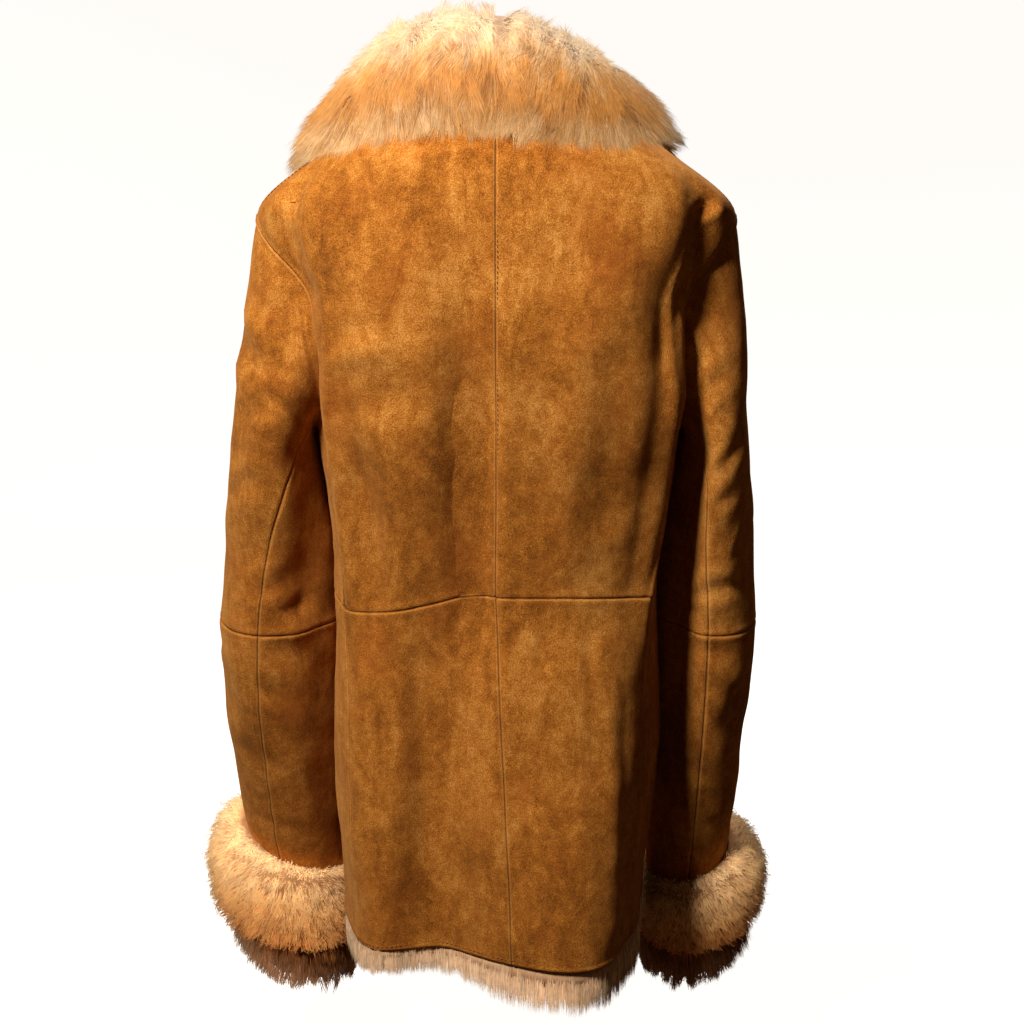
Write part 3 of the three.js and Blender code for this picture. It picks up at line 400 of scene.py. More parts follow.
def upper_panel(name, side, middle_edge, seam_column, meets, columns, dense):
    sign = math.copysign(1, meets)
    meet_angle, meet_z = armhole(side, meets)
    meet_angle = side * meet_angle
    waist = WAIST_Z + HALF_SEAM
    below = np.concatenate([waist + FINE_ROWS[:-1], np.linspace(waist + FINE_ROWS[-1], meet_z, dense)[:-1]])
    start = float(seam_angle(WAIST_Z, seam_column))
    edge_below = blend(start, meet_angle, (below - waist) / (meet_z - waist)) - sign * degrees_for(below, HALF_SEAM)
    turns = np.linspace(meets, 0, int(dense * 1.6))
    hole_angle, hole_z = armhole(side, turns)
    above = np.linspace(SHOULDER_Z, NECK_Z, int(dense * 0.9))[1:]
    z = np.concatenate([below, hole_z, above])
    ridge = 90 - SHOULDER_BACK[side] * smooth((above - SHOULDER_Z) / SHOULDER_BLEND)
    edge = np.concatenate([edge_below, side * hole_angle, ridge - sign * degrees_for(above, HALF_SEAM)])
    share = close_to_ends(columns)[None]
    angle = middle_edge(z)[:, None] * (1 - share) + edge[:, None] * share
    grid_z = np.repeat(z[:, None], share.shape[1], 1)
    seams = {"first_row": "plain", "last_column": "welt"}
    if sign > 0:
        seams["first_column"] = "plain"
    return body_panel(name, side, angle, grid_z, seams)


def side_upper(side, columns, rows):
    share = close_to_ends(columns)[None]
    turns = blend(BACK_MEETS, 360 - FRONT_MEETS, share)
    top_angle, top_z = armhole(side, turns)
    top_angle = side * top_angle
    waist_angle = blend(float(seam_angle(WAIST_Z, "side_back")), float(seam_angle(WAIST_Z, "side_front")), share)
    up = close_to_ends(rows)[:, None]
    z = blend(WAIST_Z + HALF_SEAM, top_z, up)
    angle = blend(waist_angle, top_angle, up)
    seams = {"first_row": "plain", "last_row": "welt", "first_column": "plain", "last_column": "plain"}
    return body_panel("side_upper", side, angle, z, seams)


def lower_panel(name, side, column_a, column_b, columns, rows):
    heights = np.concatenate([
        HEM_Z + FINE_ROWS[:-1],
        np.linspace(HEM_Z + FINE_ROWS[-1], WAIST_Z - FINE_ROWS[-1], rows),
        WAIST_Z - HALF_SEAM - FINE_ROWS[:-1][::-1],
    ])
    share = close_to_ends(columns)[None]
    inset = degrees_for(heights, HALF_SEAM)
    turned = {"centre_back": side}
    a = turned.get(column_a, 1) * seam_angle(heights, column_a) + inset
    b = seam_angle(heights, column_b) - (0 if column_b == "roll_line" else inset)
    angle = a[:, None] * (1 - share) + b[:, None] * share
    z = np.repeat(heights[:, None], share.shape[1], 1)
    seams = {"first_row": "hem", "last_row": "plain", "first_column": "plain"}
    if column_b != "roll_line":
        seams["last_column"] = "plain"
    return body_panel(name, side, angle, z, seams)


for side in (1, -1):
    upper_panel("back_upper", side, lambda z: side * seam_angle(z, "centre_back") + degrees_for(z, HALF_SEAM),
                "side_back", BACK_MEETS, 34, 26)
    upper_panel("front_upper", side, lambda z: seam_angle(z, "roll_line"), "side_front", -FRONT_MEETS, 24, 16)
    side_upper(side, 20, 22)
    lower_panel("back_lower", side, "centre_back", "side_back", 34, 44)
    lower_panel("side_lower", side, "side_back", "side_front", 20, 30)
    lower_panel("front_lower", side, "side_front", "roll_line", 24, 30)


# Sleeves.
# Each has a top and an under piece, cut again at the elbow seam: it runs from the armhole down and forward, as an arm
# hangs, and ends inside the fur cuff. turn is in degrees round it: 0 is the outer side, 90 the back.
BICEP_Z, ELBOW_Z, SLEEVE_END_Z, SLEEVE_FRONT_SEAM = -330.0, -480.0, -799.0, -72.0
SLEEVE_RING = ("z", "outer", "half", "deep", "y", "forward", "lift")
SLEEVE_RINGS = {
    1: [
        (-330, 238.5, 40.5, 68, -5, 0, 0),
        (-400, 247, 49, 63, -19, 2, 0),
        (-480, 254.5, 54.5, 59, -28, 6, 0),
        (-545, 255.5, 54.5, 56, -38, 10, 2),
        (-612, 252, 52.5, 54, -52, 12, 5),
        (-674, 246, 49.5, 52, -68, 13, 9),
        (-725, 240.5, 47.5, 50, -82, 14, 12),
        (-799, 236, 46, 49, -102, 14, 14),
        (-855, 235, 45, 48, -117, 14, 14),
    ],
    -1: [
        (-330, 226, 33, 70, -6, 0, 0),
        (-400, 233.5, 41, 65, -20, 2, 0),
        (-480, 238, 46, 61, -29, 6, 0),
        (-545, 236, 45, 58, -40, 10, 2),
        (-612, 231.5, 42.5, 55, -54, 12, 5),
        (-674, 228, 41, 53, -70, 13, 8),
        (-725, 225, 40, 51, -84, 14, 10),
        (-799, 223, 39, 50, -104, 14, 12),
        (-855, 222, 38, 49, -119, 14, 12),
    ],
}
SLEEVE_SEAM = {
    1: [(-330, 124), (-347, 110), (-402, 87), (-480, 76), (-799, 74)],
    -1: [(-330, 122), (-347, 108), (-402, 102), (-480, 94), (-799, 94)],
}
SLEEVE_FOLDS = {
    1: [
        ("hollow above the elbow", 118, 34, -380, -440, -452, -482, -9),
        ("fullness at the elbow", 60, 44, -420, -500, -520, -620, 4),
        ("break below the elbow", 30, 40, -500, -540, -548, -590, -4),
        ("break at the front of the elbow", -90, 36, -430, -480, -490, -545, -8),
        ("dent in the upper arm", 50, 30, -250, -300, -310, -390, -4),
        ("valley beside the body", 138, 34, -250, -340, -620, -710, -5),
    ],
    -1: [
        ("valley beside the body", 138, 44, -200, -330, -620, -710, -12),
        ("crease above the elbow", 40, 34, -390, -420, -430, -465, -5),
        ("fullness at the elbow", 60, 40, -430, -500, -520, -600, 3),
        ("break below the elbow", 50, 36, -520, -550, -560, -600, -4),
        ("fullness against the body", 198, 34, -375, -410, -440, -540, 5),
        ("break at the front of the elbow", -90, 36, -430, -480, -490, -545, -8),
    ],
}
SLEEVE_CREASES = {
    1: [
        ("dent below the shoulder", 10, -212, 66, -250, 11, -4.6, 0),
        ("ridge over it", 14, -184, 60, -222, 9, 2.4, 0),
        ("slant in the upper arm", 30, -300, 96, -268, 10, -2.8, 4),
        ("second slant in the upper arm", 26, -360, 92, -338, 9, -2.2, 3),
        ("break above the elbow", 60, -448, 120, -424, 9, -1.9, -5),
        ("second break above the elbow", 84, -468, 132, -452, 6, -1.2, -3),
        ("short break at the elbow", 36, -470, 70, -462, 5, -1.4, 0),
        ("break under the elbow seam", 80, -500, 130, -512, 9, -1.7, 4),
        ("long slant below the elbow", 56, -530, 118, -560, 9, -1.8, 4),
        ("forearm slant", 30, -600, 96, -624, 10, -1.4, 5),
        ("forearm break by the cuff", 40, -672, 104, -690, 7, -1.6, 3),
        ("front elbow break", -120, -470, -60, -476, 8, -3.0, 4),
        ("second front elbow break", -126, -500, -70, -492, 7, -2.4, -3),
        ("outer elbow break", -30, -500, 22, -508, 8, -1.6, 3),
    ],
    -1: [
        ("slant below the armhole", 112, -216, 60, -196, 5, -1.6, 0),
        ("second slant", 110, -246, 66, -222, 5, -1.4, 0),
        ("third slant", 108, -272, 50, -238, 6, -2.2, 2),
        ("fourth slant", 106, -300, 62, -276, 5, -1.3, 0),
        ("fifth slant", 108, -340, 44, -300, 7, -2.6, 3),
        ("sixth slant", 100, -368, 60, -350, 6, -1.4, 0),
        ("slant on the outer arm", 70, -420, 16, -340, 6, -2.8, 3),
        ("break above the elbow", 50, -440, 120, -452, 7, -2.2, 4),
        ("short break at the elbow", 96, -466, 136, -462, 5, -2.0, 0),
        ("break under the elbow seam", 60, -502, 124, -496, 7, -1.8, -3),
        ("long slant below the elbow", 48, -552, 110, -530, 8, -1.6, 3),
        ("forearm slant", 60, -640, 118, -612, 9, -1.4, 3),
        ("forearm break by the cuff", 50, -690, 110, -676, 7, -1.6, 3),
        ("front elbow break", -120, -474, -58, -468, 8, -3.0, -4),
        ("second front elbow break", -124, -496, -66, -504, 7, -2.2, 3),
    ],
}


def sleeve_tube(side, turn, z):
    turn, z = np.broadcast_arrays(np.asarray(turn, float), np.asarray(z, float))
    outer, half, deep, y, forward, lift = (
        curve_through(SLEEVE_RINGS[side], SLEEVE_RING, name, z) for name in SLEEVE_RING[1:]
    )
    t, lift, forward = radians(turn), radians(lift), radians(forward)
    fold = fold_depth(SLEEVE_FOLDS[side], turn, z)
    across, deep = (half + fold) * np.cos(t), (deep + fold) * np.sin(t)
    x = side * (outer - half + across * np.cos(lift))
    return np.stack([x, y + deep * np.cos(forward), z + across * np.sin(lift) - deep * np.sin(forward)], -1)


def sleeve_point(side, turn, along):
    """along is 0 at the armhole, 1 at the bicep, and past that 1 plus the distance below the bicep."""
    turn, along = np.broadcast_arrays(np.asarray(turn, float), np.asarray(along, float))
    start = body_point(*armhole(side, turn))
    end = sleeve_tube(side, turn, np.full(turn.shape, BICEP_Z))
    pull = 0.75 * np.linalg.norm(end - start, axis=-1, keepdims=True)
    outward = 0.2 + 0.3 * (1 - np.cos(radians(turn)))
    leave = np.stack([side * outward, np.zeros_like(outward), -np.sqrt(1 - outward**2)], -1) * pull
    arrive = unit(sleeve_tube(side, turn, np.full(turn.shape, BICEP_Z - 2)) - end) * pull
    t = np.clip(along, 0, 1)[..., None]
    cap = (
        (2 * t**3 - 3 * t**2 + 1) * start
        + (t**3 - 2 * t**2 + t) * leave
        + (3 * t**2 - 2 * t**3) * end
        + (t**3 - t**2) * arrive
    )
    return np.where((along > 1)[..., None], sleeve_tube(side, turn, BICEP_Z - (np.maximum(along, 1) - 1)), cap)


def sleeve_normal(side, turn, along):
    turn, along = np.broadcast_arrays(np.asarray(turn, float), np.asarray(along, float))
    step = np.where(along < 1, 0.02, 1.0)
    down = sleeve_point(side, turn, along + step) - sleeve_point(side, turn, np.maximum(0, along - step))
    around = sleeve_point(side, turn + 1, along) - sleeve_point(side, turn - 1, along)
    return unit(np.cross(down, around)) * side


SEAM_AT_ARMHOLE = BACK_MEETS + 0.3 * (360 - FRONT_MEETS - BACK_MEETS)
FRONT_SEAM_AT_ARMHOLE = -0.6 * FRONT_MEETS


def sleeve_seams(side, along):
    """Where the back and the front seam of a sleeve are, at a place along it."""
    tabled = curve_through(SLEEVE_SEAM[side], ("z", "at"), "at", np.minimum(BICEP_Z, BICEP_Z - (along - 1)))
    back = np.where(along >= 1, tabled, blend(SEAM_AT_ARMHOLE, tabled, np.minimum(along, 1)))
    return back, blend(FRONT_SEAM_AT_ARMHOLE, SLEEVE_FRONT_SEAM, smooth(along))


def sleeve_piece(name, side, along, columns, is_top, seams):
    back, front = sleeve_seams(side, along)
    start, end = (front, back) if is_top else (back, front + 360)
    share = close_to_ends(columns)[None]
    turn = blend(start[:, None], end[:, None], share)
    grid = np.repeat(along[:, None], share.shape[1], 1)
    points, normals = sleeve_point(side, turn, grid), sleeve_normal(side, turn, grid)
    creases = SLEEVE_CREASES[side]
    return suede_piece(f"{name}_{SIDES[side]}", points, normals, turn, creases, 0.95, seams)


elbow, sleeve_end = 1 + BICEP_Z - ELBOW_Z, 1 + BICEP_Z - SLEEVE_END_Z
upper_alongs = np.concatenate([
    [0, 0.006, 0.014, 0.026, 0.042, 0.062, 0.09], np.linspace(0.12, 1, 22), np.arange(6, 136, 5.0),
    elbow - FINE_ROWS[::-1],
])
lower_alongs = np.concatenate([elbow + FINE_ROWS, np.arange(elbow + 17, sleeve_end, 6.0), [sleeve_end]])
for side in (1, -1):
    edges = {"first_column": "plain", "last_column": "plain"}
    for is_top, part, columns in ((True, "top", 44), (False, "under", 26)):
        upper_edges = {**edges, "first_row": "welt", "last_row": "plain"}
        sleeve_piece(f"sleeve_{part}_upper", side, upper_alongs, columns, is_top, upper_edges)
        sleeve_piece(f"sleeve_{part}_lower", side, lower_alongs, columns, is_top, {**edges, "first_row": "plain"})


# Suede of every skin panel.
# The flesh side of the sheepskin, brushed: a matt nap that is lighter and darker where it has been stroked, with a
# grain of about a millimetre, dark in the seams and with a painted highlight along them.
def linear(colour, alpha=1.0):
    """An sRGB hex colour as linear red, green, blue and alpha."""
    parts = [int(colour[i : i + 2], 16) / 255 for i in (1, 3, 5)]
    return [c / 12.92 if c <= 0.04045 else ((c + 0.055) / 1.055) ** 2.4 for c in parts] + [alpha]


def node(tree, kind, inputs=None, **settings):
    """Adds a node, sets it up, and links or fills its inputs."""
    made = tree.nodes.new(kind)
    for key, value in settings.items():
        setattr(made, key, value)
    for key, value in (inputs or {}).items():
        socket = made.inputs[key]
        if isinstance(value, bpy.types.NodeSocket):
            tree.links.new(value, socket)
        else:
            socket.default_value = value
    return made


def ramp(tree, factor, stops):
    made = node(tree, "ShaderNodeValToRGB", {0: factor})
    points = made.color_ramp.elements
    while len(points) < len(stops):
        points.new(0.5)
    for point, (place, colour) in zip(points, stops):
        point.position = place
        point.color = linear(colour)
    return made.outputs["Color"]


def maths(tree, operation, a, b=0.0, c=0.0, clamp=False):
    made = node(tree, "ShaderNodeMath", {0: a, 1: b, 2: c}, operation=operation, use_clamp=clamp)
    return made.outputs[0]


def noise(tree, place, scale, detail=3.0, roughness=0.5, distortion=0.0):
    inputs = {"Vector": place, "Scale": scale, "Detail": detail, "Roughness": roughness, "Distortion": distortion}
    return node(tree, "ShaderNodeTexNoise", inputs).outputs["Fac"]


def stretched(tree, place, scale):
    return node(tree, "ShaderNodeMapping", {"Vector": place, "Scale": scale}).outputs[0]


def mixed(tree, factor, a, b, blend_type="MIX"):
    made = node(tree, "ShaderNodeMix", {"Factor": factor, 6: a, 7: b}, data_type="RGBA", blend_type=blend_type)
    return made.outputs[2]


def new_material(name):
    made = bpy.data.materials.new(name)
    made.use_nodes = True
    tree = made.node_tree
    return made, tree, tree.nodes["Principled BSDF"]


def fill(tree, shader, inputs):
    for key, value in inputs.items():
        if isinstance(value, bpy.types.NodeSocket):
            tree.links.new(value, shader.inputs[key])
        else:
            shader.inputs[key].default_value = value


# The nap's marks, as noise scales: 1000 over the size of a mark in millimetres. They are 133, 29, 9, 1, 0.8 and 59 mm.
CLOUDS, STROKES, PATCHES, GRAIN, SPECKS, RED_CLOUDS = 7.5, 34.0, 110.0, 980.0, 1250.0, 17.0
# In millimetres: how wide the dark line of a seam is, where the painted highlight beside it is, and its half width.
SEAM_DARK, SEAM_HIGHLIGHT_AT, SEAM_HIGHLIGHT_HALF = 1.0, 1.5, 0.9


def suede():
    made, tree, shader = new_material("Brushed sheepskin suede")
    place = node(tree, "ShaderNodeTexCoord").outputs["Object"]
    broad = noise(tree, place, CLOUDS, 3.0, 0.55, 0.9)
    strokes = noise(tree, stretched(tree, place, (1.0, 1.0, 0.4)), STROKES, 5.0, 0.62, 1.4)
    patches = noise(tree, place, PATCHES, 4.0, 0.62)
    grain = noise(tree, place, GRAIN, 2.0, 0.6)
    speck = maths(tree, "GREATER_THAN", noise(tree, place, SPECKS, 1.0, 0.5), 0.66)
    tone = maths(tree, "MULTIPLY_ADD", broad, 0.28, maths(tree, "MULTIPLY", strokes, 0.27))
    tone = maths(tree, "ADD", tone, maths(tree, "MULTIPLY_ADD", patches, 0.23, maths(tree, "MULTIPLY", grain, 0.46)))
    tone = maths(tree, "MULTIPLY_ADD", speck, 0.035, tone)
    colour = ramp(tree, tone, [(0.46, "#5F350F"), (0.56, "#8A5219"), (0.645, "#AF6E27"), (0.76, "#D29A50")])
    reddish = maths(tree, "SUBTRACT", noise(tree, place, RED_CLOUDS, 2.0), 0.5, clamp=True)
    reddish = maths(tree, "MULTIPLY", reddish, 1.3)
    colour = mixed(tree, reddish, colour, linear("#A0541E"))
    seam = node(tree, "ShaderNodeAttribute", attribute_name="seam").outputs["Fac"]
    in_seam = maths(tree, "SUBTRACT", 1.0, maths(tree, "DIVIDE", seam, SEAM_DARK), clamp=True)
    # painted highlight: a lighter line of colour along the suede beside each seam
    from_highlight = maths(tree, "DIVIDE", maths(tree, "SUBTRACT", seam, SEAM_HIGHLIGHT_AT), SEAM_HIGHLIGHT_HALF)
    beside = maths(tree, "SUBTRACT", 1.0, maths(tree, "ABSOLUTE", from_highlight), clamp=True)
    colour = mixed(tree, maths(tree, "MULTIPLY", beside, 0.38), colour, linear("#D29A55"))
    colour = mixed(tree, maths(tree, "MULTIPLY", in_seam, 0.6), colour, linear("#3B1E08"))
    relief = maths(tree, "MULTIPLY_ADD", grain, 0.6, maths(tree, "MULTIPLY", patches, 0.5))
    bump = node(tree, "ShaderNodeBump", {"Height": relief, "Strength": 0.8, "Distance": 0.001})
    fill(tree, shader, {
        "Base Color": colour, "Roughness": 0.93, "Specular IOR Level": 0.12, "Sheen Weight": 0.28,
        "Sheen Roughness": 0.55, "Sheen Tint": linear("#E6B070"), "Normal": bump.outputs["Normal"],
    })
    return made


suede_material = suede()
for name, (made, _, _) in pieces_made.items():
    made.data.materials.append(suede_material)
    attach(made, "root")
    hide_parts(name)


# Topstitching.
# Rows of thread along the hem, the shoulder seams and the centre back seam: each stitch is a short bead of thread
# sunk into the nap, set along a line on the suede.
def stitch_tree():
    tree = bpy.data.node_groups.new("Row of stitches", "GeometryNodeTree")
    tree.interface.new_socket("Geometry", in_out="INPUT", socket_type="NodeSocketGeometry")
    for label, value in (("Spacing", 0.0042), ("Stitch length", 0.0031), ("Thread radius", 0.0004)):
        socket = tree.interface.new_socket(label, in_out="INPUT", socket_type="NodeSocketFloat")
        socket.default_value = value
    tree.interface.new_socket("Thread", in_out="INPUT", socket_type="NodeSocketMaterial")
    tree.interface.new_socket("Geometry", in_out="OUTPUT", socket_type="NodeSocketGeometry")
    given = node(tree, "NodeGroupInput").outputs
    line = node(tree, "GeometryNodeMeshToCurve", {"Mesh": given["Geometry"]})
    spots = node(tree, "GeometryNodeCurveToPoints", {"Curve": line.outputs[0], "Length": given["Spacing"]},
                 mode="LENGTH")
    ball = node(tree, "GeometryNodeMeshUVSphere", {"Segments": 6, "Rings": 4, "Radius": 1.0})
    half = node(tree, "ShaderNodeMath", {0: given["Stitch length"], 1: 0.5}, operation="MULTIPLY").outputs[0]
    size = node(tree, "ShaderNodeCombineXYZ", {0: given["Thread radius"], 1: given["Thread radius"], 2: half})
    placed = node(tree, "GeometryNodeInstanceOnPoints", {
        "Points": spots.outputs["Points"], "Instance": ball.outputs["Mesh"], "Rotation": spots.outputs["Rotation"],
        "Scale": size.outputs[0],
    })
    real = node(tree, "GeometryNodeRealizeInstances", {"Geometry": placed.outputs[0]})
    dressed = node(tree, "GeometryNodeSetMaterial", {"Geometry": real.outputs[0], "Material": given["Thread"]})
    node(tree, "NodeGroupOutput", {"Geometry": dressed.outputs[0]})
    return tree


def thread():
    """Twisted polyester, a little darker than the suede, with hardly any shine."""
    made, tree, shader = new_material("Brown sewing thread")
    fill(tree, shader, {"Base Color": linear("#8A5A28"), "Roughness": 0.7})
    return made


stitches, thread_material = stitch_tree(), thread()


def stitch_row(name, points):
    mesh = bpy.data.meshes.new(name)
    mesh.from_pydata([tuple(p / 1000) for p in points], [(i, i + 1) for i in range(len(points) - 1)], [])
    line = bpy.data.objects.new(name, mesh)
    bpy.context.scene.collection.objects.link(line)
    modifier = line.modifiers.new("Stitches", "NODES")
    modifier.node_group = stitches
    inputs = {item.name: item.identifier for item in stitches.interface.items_tree if item.in_out == "INPUT"}
    modifier[inputs["Thread"]] = thread_material
    graph = bpy.context.evaluated_depsgraph_get()
    plain = bpy.data.meshes.new_from_object(line.evaluated_get(graph))
    line.modifiers.clear()
    line.data = plain
    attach(line, "root")
    return line


for side in (1, -1):
    heights = np.linspace(SHOULDER_Z - 1, -40, 60)
    for word, away in (("back", 5.5), ("front", -5.5)):
        ridge = 90 - SHOULDER_BACK[side] * smooth((heights - SHOULDER_Z) / SHOULDER_BLEND)
        angle = side * (ridge - degrees_for(heights, away))
        stitch_row(f"shoulder_stitches_{word}_{SIDES[side]}", body_offset(angle, heights, np.full(60, 0.35)))
    angle = side * np.linspace(-4.0 * side + 0.4, 174.6, 260)
    stitch_row(f"hem_stitches_{SIDES[side]}", body_offset(angle, np.full(260, HEM_Z + 5), np.full(260, 0.0)))
heights = np.linspace(-14, -425, 240)
stitch_row("centre_back_stitches", body_offset(degrees_for(heights, -1.1), heights, np.full(240, 0.3)))


# Fur and wool.
# Hair is closed slivers, wider than a real hair so that each one shows at this size, in locks that lean together.
# A mass of the same fur fills the space under them, set darker with painted shade, as the hair casts no shadow.
ROUND_SHARE, TIP_SHARE = 0.8, 0.25


def hair(name, root, middle, tip, radius, band, tone, facing):
    """Slivers with a root, a bend of three corners and a tip. band holds a value for the root, bend and tip, tone one.
    facing is which way the fur looks there: each hair is shaded mostly as the fur round it is."""
    count = len(root)
    steps = (np.zeros(count), np.full(count, 0.5), np.ones(count))
    attributes = {"band": band, "along": steps, "tone": (tone, tone, tone)}
    way = unit(tip - root)
    beside = unit(np.cross(way, np.where(np.abs(way[:, 2:]) < 0.9, [[0, 0, 1.0]], [[1.0, 0, 0]])))
    third = np.cross(way, beside)
    corners = [
        middle + (beside * math.cos(a) + third * math.sin(a)) * radius[:, None]
        for a in (0, 2 * math.pi / 3, 4 * math.pi / 3)
    ]
    points = np.stack([root, *corners, tip], 1).reshape(-1, 3)
    base = np.arange(count)[:, None, None] * 5
    pattern = np.array([[0, 2, 1], [0, 3, 2], [0, 1, 3], [4, 1, 2], [4, 2, 3], [4, 3, 1]])
    faces = (base + pattern[None]).reshape(-1, 3)
    spread = {key: np.stack([a, b, b, b, c], 1).ravel() for key, (a, b, c) in attributes.items()}
    made = mesh_object(name, points, faces, spread)
    round_it = [unit(facing + ROUND_SHARE * unit(corner - middle)) for corner in corners]
    shading = np.stack([facing, *round_it, unit(facing + TIP_SHARE * way)], 1).reshape(-1, 3)
    made.data.normals_split_custom_set_from_vertices(shading.tolist())
    # light goes on through long hair, so only the mass under it casts a shadow
    made.visible_shadow = False
    return made


def gather(random, places, tips, count, hold, spread):
    """Pulls tips together into locks: each hair leans to the tip of the nearest of a few leading hairs."""
    leaders = random.choice(len(places), count, replace=False)
    nearest = np.empty(len(places), int)
    for start in range(0, len(places), 4000):
        block = places[start : start + 4000]
        nearest[start : start + 4000] = ((block[:, None] - places[leaders][None]) ** 2).sum(-1).argmin(1)
    lean = hold * random.uniform(0.4, 1.0, len(places))[:, None]
    apart = random.normal(size=tips.shape) * spread
    return blend(tips, tips[leaders[nearest]] + apart, lean), nearest


def closed_tube(name, loops, band, end_band, along, tone):
    """A closed solid through loops of points, with flat ends."""
    count, size = loops.shape[:2]
    index = np.arange(count * size).reshape(count, size)
    beside = np.roll(index, -1, 1)
    faces = np.stack([index[:-1], beside[:-1], beside[1:], index[1:]], -1).reshape(-1, 4)
    points = loops.reshape(-1, 3)
    ends = []
    for row, turned in ((0, True), (count - 1, False)):
        points = np.concatenate([points, points[index[row]].mean(0, keepdims=True)])
        tip = np.full(size, len(points) - 1)
        pair = [beside[row], index[row]] if turned else [index[row], beside[row]]
        ends.append(np.stack([tip, *pair], -1))
    triangles = np.concatenate([faces[:, [0, 1, 2]], faces[:, [0, 2, 3]], *ends])
    bands = np.concatenate([np.broadcast_to(band, (count, size)).ravel(), [end_band, end_band]])
    fixed = {"band": bands, "along": np.full(len(points), along), "tone": np.full(len(points), tone)}
    return mesh_object(name, points, triangles, fixed)


# How dark a hair is at its root, and the size of the fur's patches and streaks as noise scales: 38 and 6 mm.
# The darker root is partly the fur's own colour and partly painted shade, as the hair casts no shadow.
ROOT_DARKNESS_AND_SHADE, FUR_PATCHES, FUR_STREAKS = 0.85, 26.0, 160.0


def fur_material(name, stops, root_and_shade_colour, root_share, light, gain=1.0, sheen=0.15):
    """Keratin hair with a soft broad shine. Its colours run along a band of the fur, its roots are darker, partly its
    own colour and partly painted shade, as the hair casts no shadow, and each hair has its own tone."""
    made, tree, shader = new_material(name)
    place = node(tree, "ShaderNodeTexCoord").outputs["Object"]
    band, along, tone = (
        node(tree, "ShaderNodeAttribute", attribute_name=key).outputs["Fac"] for key in ("band", "along", "tone")
    )
    patch = maths(tree, "MULTIPLY", maths(tree, "SUBTRACT", noise(tree, place, FUR_PATCHES, 3.0), 0.5), 0.34)
    colour = ramp(tree, maths(tree, "ADD", band, patch, clamp=True), stops)
    streak = noise(tree, place, FUR_STREAKS, 2.0)
    value = maths(tree, "MULTIPLY_ADD", tone, 0.75, maths(tree, "MULTIPLY_ADD", streak, 0.6, 0.26))
    value = maths(tree, "MULTIPLY", value, gain)
    shaded = node(tree, "ShaderNodeHueSaturation", {"Value": value, "Color": colour}).outputs[0]
    # painted shade towards the root, together with the fur's own darker root
    root = maths(tree, "SUBTRACT", 1.0, maths(tree, "DIVIDE", along, root_share), clamp=True)
    root = maths(tree, "MULTIPLY", root, ROOT_DARKNESS_AND_SHADE)
    shaded = mixed(tree, root, shaded, linear(root_and_shade_colour))
    fill(tree, shader, {
        "Base Color": shaded, "Roughness": 0.62, "Specular IOR Level": light, "Sheen Weight": sheen,
        "Sheen Roughness": 0.5, "Sheen Tint": linear("#FFE2B8"),
    })
    return made


# Fur collar and lapels.
# One long-haired fur runs round the neck and down both fronts to where the coat closes, notched where the collar is
# sewn to the lapels. Pale at the roll, deep orange across the fall, with pale tips and dark roots at the lower edge.
# The dark roots and the darker lower edge are partly the fur's own colour and partly painted shade.
STATION = ("i", "x", "y", "z", "ax", "ay", "az", "half", "thick")
COLLAR_STATIONS = [
    (0, 12, -160, -362, 0.9, 0.1, -0.2, 7, 6),
    (1, 20, -160, -325, 0.92, 0.1, -0.25, 17, 11),
    (2, 42, -153, -262, 0.94, 0.12, -0.25, 31, 15),
    (3, 72, -136, -192, 0.92, 0.2, -0.3, 43, 18),
    (4, 97, -106, -126, 0.88, 0.05, -0.45, 48, 21),
    (5, 116, -58, -72, 0.8, -0.1, -0.6, 54, 24),
    (6, 116, 2, -32, 0.74, 0.05, -0.67, 64, 25),
    (7, 70, 64, -5, 0.42, 0.35, -0.84, 58, 28),
    (8, 4, 86, 1, 0, 0.45, -0.89, 55, 29),
    (9, -62, 70, -16, -0.45, 0.35, -0.82, 52, 26),
    (10, -104, 12, -27, -0.86, 0.1, -0.5, 53, 24),
    (11, -108, -56, -68, -0.84, -0.1, -0.53, 52, 23),
    (12, -95, -106, -126, -0.88, 0.05, -0.45, 48, 21),
    (13, -71, -136, -192, -0.92, 0.2, -0.3, 43, 18),
    (14, -42, -153, -262, -0.94, 0.12, -0.25, 31, 15),
    (15, -20, -160, -325, -0.92, 0.1, -0.25, 17, 11),
    (16, -12, -160, -362, -0.9, 0.1, -0.2, 7, 6),
]
NOTCH, LAST_STATION, FUR_TAPER, BLUNT = 4.6, 16.0, 0.25, 2.6


def collar_at(i, t, scale_half, scale_thick, shift=0.0):
    """A point of the collar: i along it, t round its section (0 the outer edge, 0.5 the roll), and two scales."""
    i, t = np.broadcast_arrays(np.asarray(i, float), np.asarray(t, float))

    def column(name, at):
        return curve_through(COLLAR_STATIONS, STATION, name, at)

    def middle(at):
        return np.stack([column(k, at) for k in "xyz"], -1)

    path = unit(middle(i + 0.05) - middle(i - 0.05))
    across = np.stack([column(k, i) for k in ("ax", "ay", "az")], -1)
    across = unit(across - path * (across * path).sum(-1, keepdims=True))
    up = np.cross(path, across)
    c, s = np.cos(2 * math.pi * t), np.sin(2 * math.pi * t)
    blunt = 1 / (np.abs(c) ** BLUNT + np.abs(s) ** BLUNT) ** (1 / BLUNT)
    half, thick = column("half", i), column("thick", i)
    over = (c * blunt * scale_half + shift) * half
    raised = thick * (1 - FUR_TAPER * c) * blunt * s * scale_thick
    return middle(i) + across * over[..., None] + up * raised[..., None]


